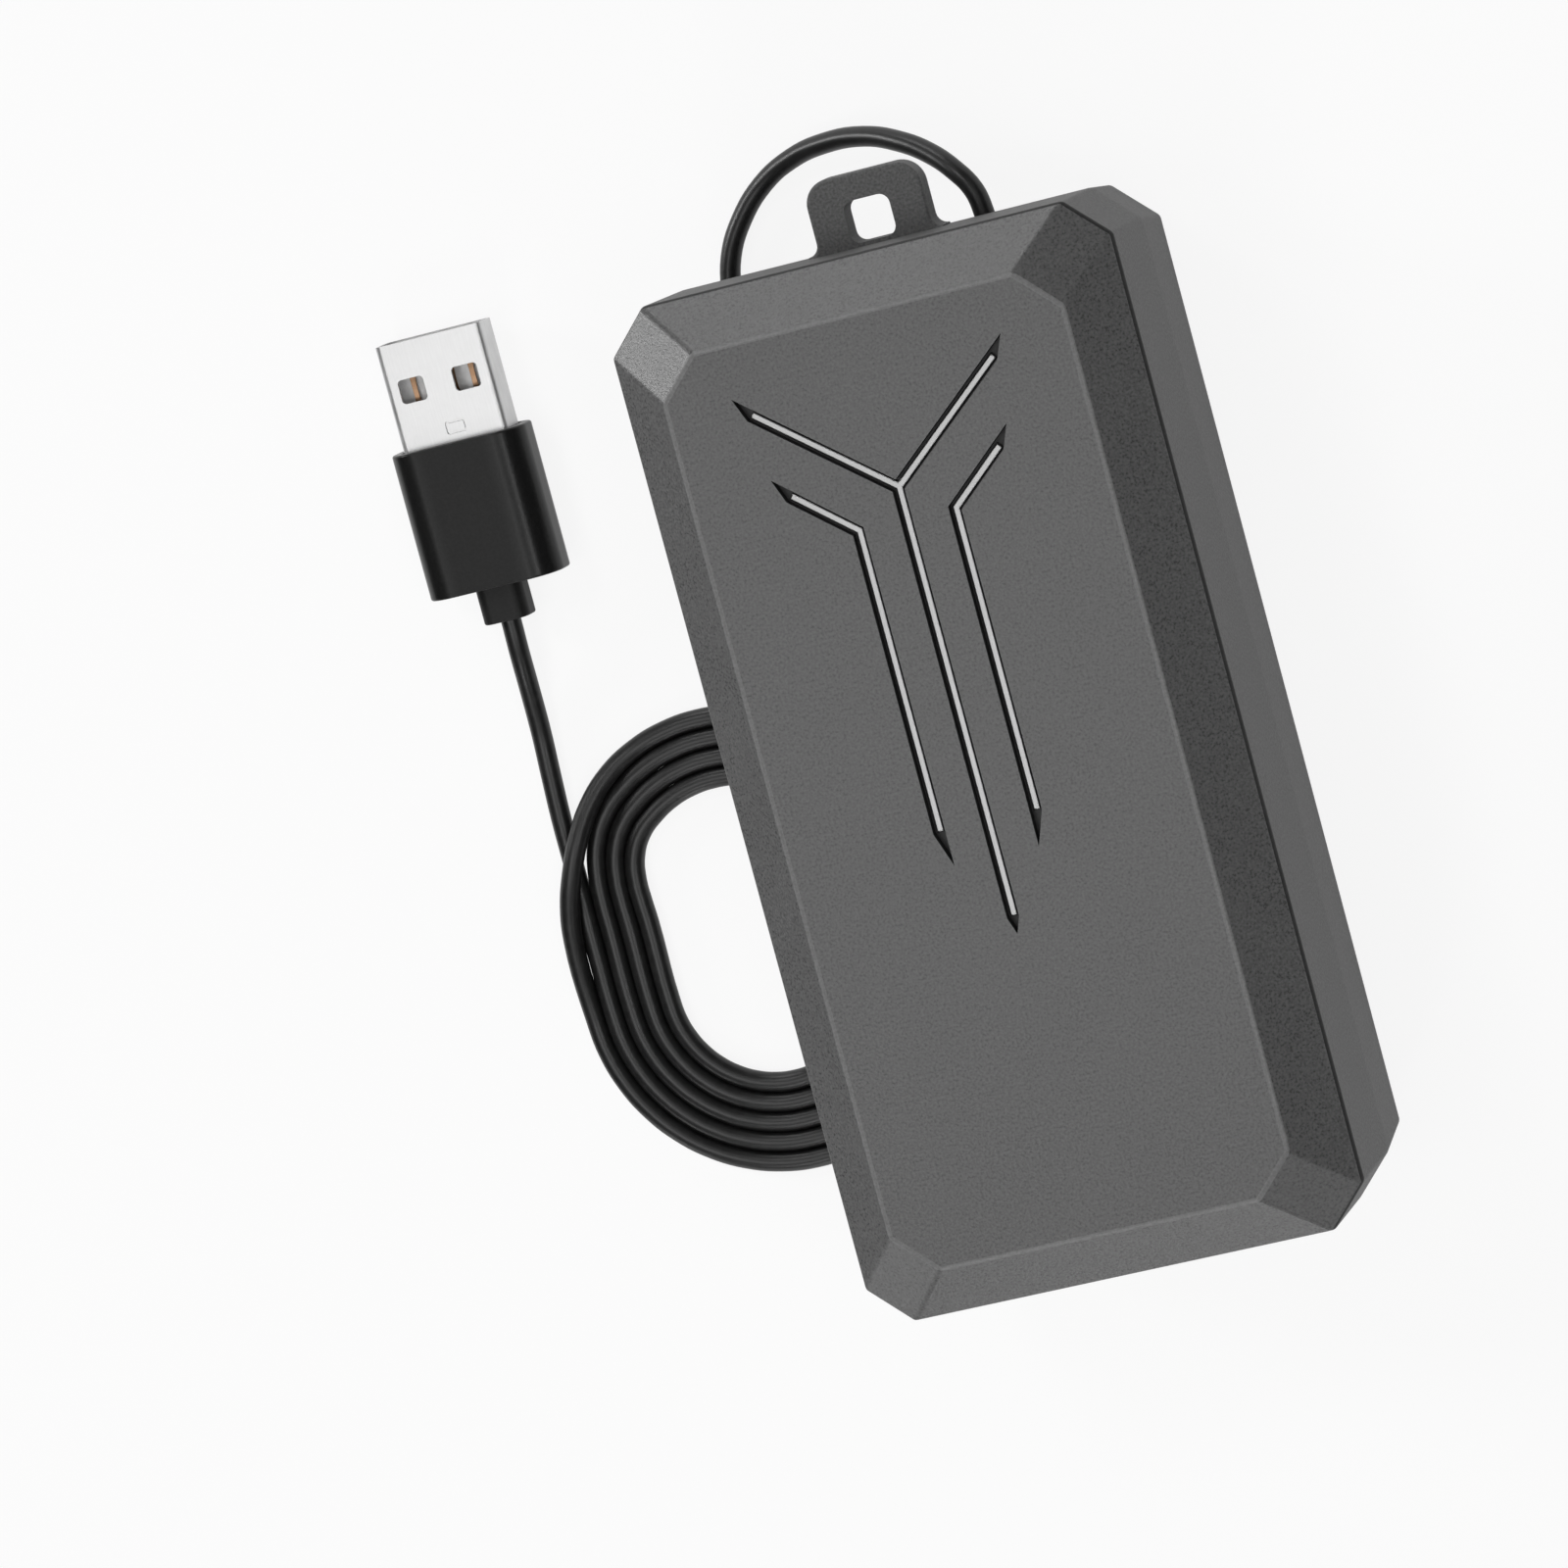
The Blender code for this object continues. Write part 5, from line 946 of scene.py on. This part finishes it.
for node in case_screws:
    drill(SCREW_POCKET_RADIUS, middle(node), below, REAR_Z + SCREW_SEAT, 40)
    drill(PILOT_RADIUS, middle(node), below, BOSS_TOP + CLEARANCE)
for node in feet:
    drill(FOOT_HOLE_RADIUS, middle(node), below, FLOOR_Z + CLEARANCE)
pilot_z = FLOOR_Z + BOARD_PILOT_FLOOR
for node in board_screws:
    drill(BOARD_PILOT_RADIUS, middle(node), pilot_z, BOARD_POST_TOP + BOARD_PILOT_FLOOR + CLEARANCE)
for number in range(INTAKE_HOLES):
    spoke = Matrix.Rotation(2 * math.pi * number / INTAKE_HOLES, 3, "Z") @ ACROSS
    drill(INTAKE_RADIUS, middle("intake_felt") + spoke * (INTAKE_RING * MM), below, FLOOR_Z + CLEARANCE, 20)
before_wall = outlet_face - ALONG * (CLEARANCE * MM)
grommet = middle("cord_grommet")
behind_wall = Vector((grommet.x, CASE_Y + HALF_LENGTH - GROMMET_HOLE_DEPTH * MM, grommet.z))
end_holes = [
    (OUTLET_POCKET_RADIUS, before_wall, OUTLET_POCKET_DEPTH),
    (NIPPLE_HOLE_RADIUS, before_wall, NIPPLE_HOLE_DEPTH),
    (GROMMET_HOLE_RADIUS, behind_wall, GROMMET_HOLE_DEPTH),
]
for radius, foot, depth in end_holes:
    carve(rear_cover, "DIFFERENCE", rod(radius, foot, depth + CLEARANCE, ALONG))
print("rear cover faces with its holes:", len(rear_cover.data.polygons))

# %% [markdown]
# ## The plug's overmould
# The plug's grip is soft black plastic moulded round the metal: a flat block with well rounded long sides,
# and a narrow collar that keeps the cord from bending sharply. A cube is stretched to size and bevelled
# twice: first along the long edges with a big radius, then round the two ends with a small one.

# %% Overmould
GRIP_SIDE_ROUND, GRIP_END_ROUND = 3.2, 0.25
SIDE_SEGMENTS, END_SEGMENTS = 12, 4
FOLD = 1.0
COLLAR, COLLAR_LENGTH = (5.2, 4.4), 3.9
COLLAR_ROUND, COLLAR_OVERLAP = 1.4, 2.0
SHELL_SOCKET, SOCKET_DEPTH = (12.6, 5.1), 2.5
SOCKET_ROUND, SOCKET_EDGE = 0.6, 0.01


def block(low, high):
    """A cube stretched to fill the space between two corners."""
    shape = bmesh.new()
    bmesh.ops.create_cube(shape, size=1.0)
    bmesh.ops.scale(shape, verts=shape.verts, vec=high - low)
    bmesh.ops.translate(shape, verts=shape.verts, vec=(low + high) / 2)
    return shape


def soft_bar(low, high, side_round, end_round):
    """A bar along Y between two corners, rounded along its length and at its ends, where it folds sharply."""
    shape = block(low, high)
    round_edges(shape, lambda edge: not is_level(edge, Y), side_round, SIDE_SEGMENTS)
    round_edges(shape, lambda edge: is_level(edge, Y) and edge.is_manifold
                and abs(edge.calc_face_angle()) > FOLD, end_round, END_SEGMENTS)
    return shape


def along_plug(size, start_y, end_y, side_round, end_round):
    """A soft bar on the plug's middle line, with a width and a thickness in millimetres."""
    half = Vector((size[0] / 2, 0, size[1] / 2)) * MM
    low = Vector((grip_middle.x, start_y, grip_middle.z)) - half
    high = Vector((grip_middle.x, end_y, grip_middle.z)) + half
    return soft_bar(low, high, side_round, end_round)


grip_middle = (grip_low + grip_high) / 2
grip_back = grip_low.y + COLLAR_LENGTH * MM
grip_corner = Vector((grip_low.x, grip_back, grip_low.z))
grip_shape = soft_bar(grip_corner, grip_high, GRIP_SIDE_ROUND, GRIP_END_ROUND)
grip = piece("plug_grip", grip_shape, "plug_black", "plug_overmould")
collar_end = grip_back + COLLAR_OVERLAP * MM
carve(grip, "UNION", along_plug(COLLAR, grip_low.y, collar_end, COLLAR_ROUND, GRIP_END_ROUND))
socket_start, socket_end = grip_high.y - SOCKET_DEPTH * MM, grip_high.y + CLEARANCE * MM
carve(grip, "DIFFERENCE", along_plug(SHELL_SOCKET, socket_start, socket_end, SOCKET_ROUND, SOCKET_EDGE))
soften(grip)
print("plug grip faces:", len(grip.data.polygons))

# %% [markdown]
# ## The plug's metal shell
# The shell is a strip of plated steel folded into a flat sleeve, with two windows that the socket's springs
# drop into and a small catch, pressed in along its outline, that holds the insulator inside.
# A rounded rectangle is extruded, hollowed and pierced, and a narrow groove is cut round the catch.

# %% Shell
SHELL_CORNER = 0.7
SHELL_WALL = 0.35
WINDOW, WINDOW_CORNER = (2.9, 2.6), 0.45
WINDOW_SIDE, WINDOW_FROM_FRONT = 3.05, 5.2
CATCH, CATCH_CORNER = (2.3, 1.4), 0.3
CATCH_LAND, LAND_CORNER = (1.8, 0.9), 0.1
CATCH_PLACE = (0.55, 10.0)
CATCH_DEPTH, LAND_OVERLAP = 0.2, 0.05
shell_low, shell_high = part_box("plug_shell")
shell_middle = (shell_low + shell_high) / 2
shell_size = (shell_high - shell_low) / MM


def sleeve(inset, corner, start_y, length):
    """A bar along Y with the shell's rounded outline, drawn in by an inset."""
    outline = rounded_rectangle(shell_size.x / 2 - inset, shell_size.z / 2 - inset, corner)
    points = [Vector((shell_middle.x + x * MM, start_y, shell_middle.z + z * MM)) for x, z in outline]
    return bar(points, length, ALONG)


def punch(side, from_front, size, corner, depth, above=CLEARANCE):
    """A small upright bar from a depth below the shell's top to a little above it."""
    x, y = shell_middle.x + side * MM, shell_high.y - from_front * MM
    outline = rounded_rectangle(size[0] / 2, size[1] / 2, corner)
    points = [Vector((x + a * MM, y + b * MM, shell_high.z - depth * MM)) for a, b in outline]
    return bar(points, depth + above)


shell_shape = sleeve(0, SHELL_CORNER, shell_low.y, shell_size.y)
shell = piece("plug_sleeve", shell_shape, "plug_steel", "plug_shell")
hollow_start, hollow_length = shell_low.y - CLEARANCE * MM, shell_size.y + 2 * CLEARANCE
carve(shell, "DIFFERENCE", sleeve(SHELL_WALL, SHELL_CORNER - SHELL_WALL, hollow_start, hollow_length))
for side in (-WINDOW_SIDE, WINDOW_SIDE):
    carve(shell, "DIFFERENCE", punch(side, WINDOW_FROM_FRONT, WINDOW, WINDOW_CORNER, shell_size.z / 2))
carve(shell, "DIFFERENCE", punch(*CATCH_PLACE, CATCH, CATCH_CORNER, CATCH_DEPTH))
carve(shell, "UNION", punch(*CATCH_PLACE, CATCH_LAND, LAND_CORNER, CATCH_DEPTH + LAND_OVERLAP, 0))
soften(shell)
print("plug shell faces:", len(shell.data.polygons))

# %% [markdown]
# ## The plug's tongue and contacts
# Inside the shell a thin tongue of insulating plastic carries four springy contacts. They show through the
# windows and from the front. Each is a small bar with its edges broken, placed by its CAD part's box,
# and a contact narrows and bows up towards its middle, where the socket presses on it.

# %% Tongue and contacts
TONGUE_EDGE = 0.2
CONTACT_EDGE = 0.05
CONTACT_CUTS = 9
CONTACT_BOW = 0.25
CONTACT_WAIST = 0.45


def broken_bar(node, width, cuts=0):
    """A bar that fills a CAD part's box, with its edges broken, and cut across into short lengths."""
    low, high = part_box(node)
    shape = block(low, high)
    round_edges(shape, lambda edge: True, width, 2)
    for number in range(cuts):
        cut_y = low.y + (high.y - low.y) * (number + 1) / (cuts + 1)
        bmesh.ops.bisect_plane(shape, geom=shape.verts[:] + shape.edges[:] + shape.faces[:],
                               plane_co=(0, cut_y, 0), plane_no=ALONG)
    return shape


tongue = piece("plug_blade", broken_bar("plug_tongue", TONGUE_EDGE), "plug_insulator", "plug_tongue")
for node in numbered("plug_contact"):
    low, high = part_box(node)
    shape = broken_bar(node, CONTACT_EDGE, CONTACT_CUTS)
    for corner in shape.verts:
        bow = math.sin(math.pi * (corner.co.y - low.y) / (high.y - low.y)) ** 2
        corner.co.z += CONTACT_BOW * MM * bow
        corner.co.x -= (corner.co.x - (low.x + high.x) / 2) * CONTACT_WAIST * bow
    piece(node.replace("contact", "spring"), shape, "contact_gold", node)

# %% [markdown]
# ## Rubber feet
# Each foot is one turned piece of soft rubber: a ring that touches the table round a shallow dish, a straight
# side, and a stem with a barbed bulb that is pulled through its hole in the floor of the case.

# %% Feet
FOOT_DISH = [(0, 0.35), (2.5, 0.35), (2.75, 0.1), (3.0, 0), (3.3, 0)]
FOOT_SIDE = [(3.7, 0.15), (3.93, 0.5), (4.0, 0.95), (4.0, 4.9), (3.8, 5.12)]
FOOT_STEM = [(1.8, 5.14), (1.8, 7.26), (2.5, 7.26), (2.6, 7.4), (2.2, 7.85), (1.6, 8.06), (0, 8.06)]
for node in feet:
    shape = turned(FOOT_DISH + FOOT_SIDE + FOOT_STEM, above_floor(middle(node), 0), steps=48)
    soften(piece(f"rubber_{node}", shape, "soft_rubber", node))
print("feet touch the floor round a dish of", 2 * FOOT_DISH[1][0], "mm")

# %% [markdown]
# ## Case screws
# Four long screws hold the covers together from below. A turned profile gives the domed head and, with a
# zigzag, the ridges of the thread, and two crossed bars cut the driver's recess into the head.

# %% Screws
SHANK_RADIUS = 1.1
HEAD_PROFILE = [(0, 0), (1.3, 0), (1.75, 0.15), (2.1, 0.5), (2.2, 0.9), (2.2, 1.6), (SHANK_RADIUS, 1.6)]
THREAD_START, THREAD_PITCH, THREAD_DEPTH = 12.0, 0.9, 0.28
POINT_RADIUS, POINT_LENGTH = 0.5, 0.3
RECESS_LENGTH, RECESS_WIDTH, RECESS_DEPTH = 2.4, 0.55, 0.9
for node in case_screws:
    low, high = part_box(node)
    length = (high.z - low.z) / MM
    profile = HEAD_PROFILE + [(SHANK_RADIUS, THREAD_START)]
    height = THREAD_START + THREAD_PITCH / 2
    while height < length - 2 * THREAD_PITCH:
        profile += [(SHANK_RADIUS - THREAD_DEPTH, height), (SHANK_RADIUS, height + THREAD_PITCH / 2)]
        height += THREAD_PITCH
    profile += [(POINT_RADIUS, length - POINT_LENGTH), (0, length)]
    foot = above_floor(middle(node), low.z / MM)
    screw = piece(f"long_{node}", turned(profile, foot, steps=32), "screw_steel", node)
    for x, y in ((RECESS_LENGTH / 2, RECESS_WIDTH / 2), (RECESS_WIDTH / 2, RECESS_LENGTH / 2)):
        corners = [(-x, -y), (x, -y), (x, y), (-x, y)]
        lid = [foot + Vector((a, b, -CLEARANCE)) * MM for a, b in corners]
        carve(screw, "DIFFERENCE", bar(lid, CLEARANCE + RECESS_DEPTH))
    soften(screw)
print("screws are", round(length, 1), "mm long")

# %% [markdown]
# ## The cord's grommet
# A rubber bush lines the hole where the cord leaves, so that the wall doesn't chafe it. It sits nearly flush
# with the wall outside and has a flange inside. It is turned round the cord's own line.

# %% Grommet
GROMMET_FLANGE = [(1.15, 0), (2.7, 0), (3.0, 0.2), (3.0, 0.5), (2.8, 0.7), (2.2, 0.7)]
GROMMET_NECK = [(2.2, 3.25), (2.1, 3.45), (1.7, 3.55), (1.3, 3.5), (1.15, 3.3)]
grommet_low, grommet_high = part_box("cord_grommet")
grommet_foot = Vector((grommet.x, grommet_low.y, grommet.z))
bush_shape = turned(GROMMET_FLANGE + GROMMET_NECK, grommet_foot, ALONG)
soften(piece("cord_bush", bush_shape, "soft_rubber", "cord_grommet"))
print("grommet box, mm:", in_mm(grommet_high - grommet_low, 2))

# %% [markdown]
# ## The diaphragm
# The rubber diaphragm is clamped at its rim to the pump head, and its middle moves with the swinging arm.
# It is turned as one skin with an S-shaped slope between a flat rim and a thick middle.

# %% Diaphragm
RIM_RADIUS, RIM_THICKNESS = 10.0, 1.1
HUB_HOLE, HUB_LOW = 1.3, 7.0
SLOPE_START, SLOPE_END = 3.6, 6.8
SKIN_HALF = 0.42
SLOPE_STEPS = 10
skin_low, skin_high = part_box("diaphragm")
skin_height = (skin_high.x - skin_low.x) / MM
drop = (skin_height - HUB_LOW) / 2 + HUB_LOW - RIM_THICKNESS / 2
slope = []
for step in range(1, SLOPE_STEPS):
    share = step / SLOPE_STEPS
    radius = SLOPE_START + (SLOPE_END - SLOPE_START) * share
    slope.append((radius, RIM_THICKNESS / 2 + drop * (1 - ease(share))))
skin_profile = [(HUB_HOLE, HUB_LOW), (SLOPE_START - SKIN_HALF, HUB_LOW)]
skin_profile += [(radius - SKIN_HALF, min(height, HUB_LOW)) for radius, height in slope]
skin_profile += [(SLOPE_END - SKIN_HALF, 0), (RIM_RADIUS, 0)]
skin_profile += [(RIM_RADIUS, RIM_THICKNESS), (SLOPE_END + SKIN_HALF, RIM_THICKNESS)]
skin_profile += [(radius + SKIN_HALF, max(height, RIM_THICKNESS)) for radius, height in reversed(slope)]
skin_profile += [(SLOPE_START + SKIN_HALF, skin_height), (HUB_HOLE, skin_height)]
skin_foot = Vector((skin_low.x, middle("diaphragm").y, middle("diaphragm").z))
skin = piece("pump_skin", turned(skin_profile, skin_foot, ACROSS, 48), "soft_rubber", "diaphragm", None)
soften(skin)
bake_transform(skin)
print("diaphragm is", 2 * RIM_RADIUS, "mm across")

# %% [markdown]
# ## Floor and card
# The pump lies on a plain pale floor. To the camera and to shiny metal the floor looks mostly white, and it
# still takes the pump's soft shadow. A small black card on the left keeps that white out of the case's left
# slope, as a photographer would do it. Only reflections see the card, so it shows in no picture and casts
# no shadow.

# %% Floor and card
FLOOR_HALF, FLOOR_DROP = 3.0, 0.02
CAMERA_WHITE, METAL_WHITE = 0.88, 0.6
CARD_X, CARD_Y, CARD_TOP = -0.13, (-0.085, 0.065), 0.05
floor_shape = bmesh.new()
bmesh.ops.create_grid(floor_shape, x_segments=1, y_segments=1, size=FLOOR_HALF)
bmesh.ops.translate(floor_shape, verts=floor_shape.verts, vec=UP * (-FLOOR_DROP * MM))
place = start("studio_floor")
rays = ("Is Camera Ray", "Is Glossy Ray", "Is Transmission Ray")
direct, shiny, clear = (place.node("ShaderNodeLightPath", {}, {}, ray) for ray in rays)
paper = place.node("ShaderNodeBsdfDiffuse", {}, {"Color": grey(246)})
white = place.node("ShaderNodeEmission", {}, {"Color": (1, 1, 1, 1), "Strength": 1.0})
seen = direct * CAMERA_WHITE + (shiny + clear).above(0.5) * METAL_WHITE
floor_shader = place.node("ShaderNodeMixShader", {}, {0: seen, 1: paper, 2: white})
place.node("ShaderNodeOutputMaterial", {}, {"Surface": floor_shader})
piece("studio_floor", floor_shape, "studio_floor")
moulded("card_black", grey(12), grey(16), 0.9, 0.5, 0.02)
card_shape = bmesh.new()
corners = [(CARD_Y[0], 0), (CARD_Y[1], 0), (CARD_Y[1], CARD_TOP), (CARD_Y[0], CARD_TOP)]
flat_face(card_shape, [Vector((CARD_X, y, z)) for y, z in corners])
card = piece("black_card", card_shape, "card_black")
card.visible_camera = card.visible_diffuse = card.visible_transmission = card.visible_shadow = False
print("floor is", 2 * FLOOR_HALF, "m wide, card", round(CARD_Y[1] - CARD_Y[0], 3), "m")

# %% [markdown]
# ## World and lamps
# Round the floor stands a white backdrop, which is simply a world that is white near the horizon and dim
# overhead. The case is all flat facets with a fine gloss, and a facet brightens only when the camera sees a
# lamp mirrored in it. So every slope and every rounded edge that is light in the picture has its own small,
# weak lamp in that mirror direction, and one big weak lamp overhead gives the rest an even light.

# %% World and lamps
SKY_STRENGTH = 0.06
BACKDROP_TOP = (0.08, 0.3)
LAMP_DISTANCE = 1.2
LAMPS = [
    ("overhead", (0.05, -0.1, 0.99), 1.2, 3.6), ("sheen", (-0.275, -0.114, 0.955), 0.4, 1.4),
    ("key", (-0.83, 0.45, 0.33), 0.26, 3.8), ("top_fill", (-0.24, 0.93, 0.27), 0.3, 1.8),
    ("foot_fill", (-0.15, -0.975, 0.16), 0.3, 1.2), ("side_fill", (-0.77, -0.61, 0.21), 0.3, 0.7),
    ("top_edge", (-0.294, 0.53, 0.795), 0.25, 1.6), ("foot_edge", (-0.294, -0.697, 0.654), 0.25, 1.6),
    ("right_edge", (0.39, -0.109, 0.915), 0.25, 0.9), ("top_corner", (0.42, 0.58, 0.69), 0.25, 0.16),
    ("foot_corner", (0.36, -0.75, 0.55), 0.25, 0.7),
]
world = bpy.data.worlds.new("studio")
bpy.context.scene.world = world
world.use_nodes = True
world.node_tree.nodes.clear()
direction = Shade(world.node_tree).node("ShaderNodeTexCoord", {}, {}, "Generated")
height = direction.node("ShaderNodeSeparateXYZ", {}, {"Vector": direction}, "Z")
strength = height.spread(*BACKDROP_TOP, 1.0, SKY_STRENGTH)
background = direction.node("ShaderNodeBackground", {}, {"Color": (1, 1, 1, 1), "Strength": strength})
direction.node("ShaderNodeOutputWorld", {}, {"Surface": background})
for name, towards, size, watts in LAMPS:
    data = bpy.data.lights.new(name, "AREA")
    data.shape, data.size, data.energy = "SQUARE", size, watts
    lamp = bpy.data.objects.new(name, data)
    lamp.location = Vector(towards).normalized() * LAMP_DISTANCE
    lamp.rotation_euler = (-lamp.location).to_track_quat("-Z", "Y").to_euler()
    bpy.context.scene.collection.objects.link(lamp)
bpy.context.scene.view_settings.view_transform = "Standard"
print("lamps:", len(LAMPS))

# %% [markdown]
# ## Where the cord leaves the case
# Last, the point where the cord leaves the end wall is given, in millimetres from the case's middle.

CORD_EXIT = at(9.6, 54.8, 13.0)
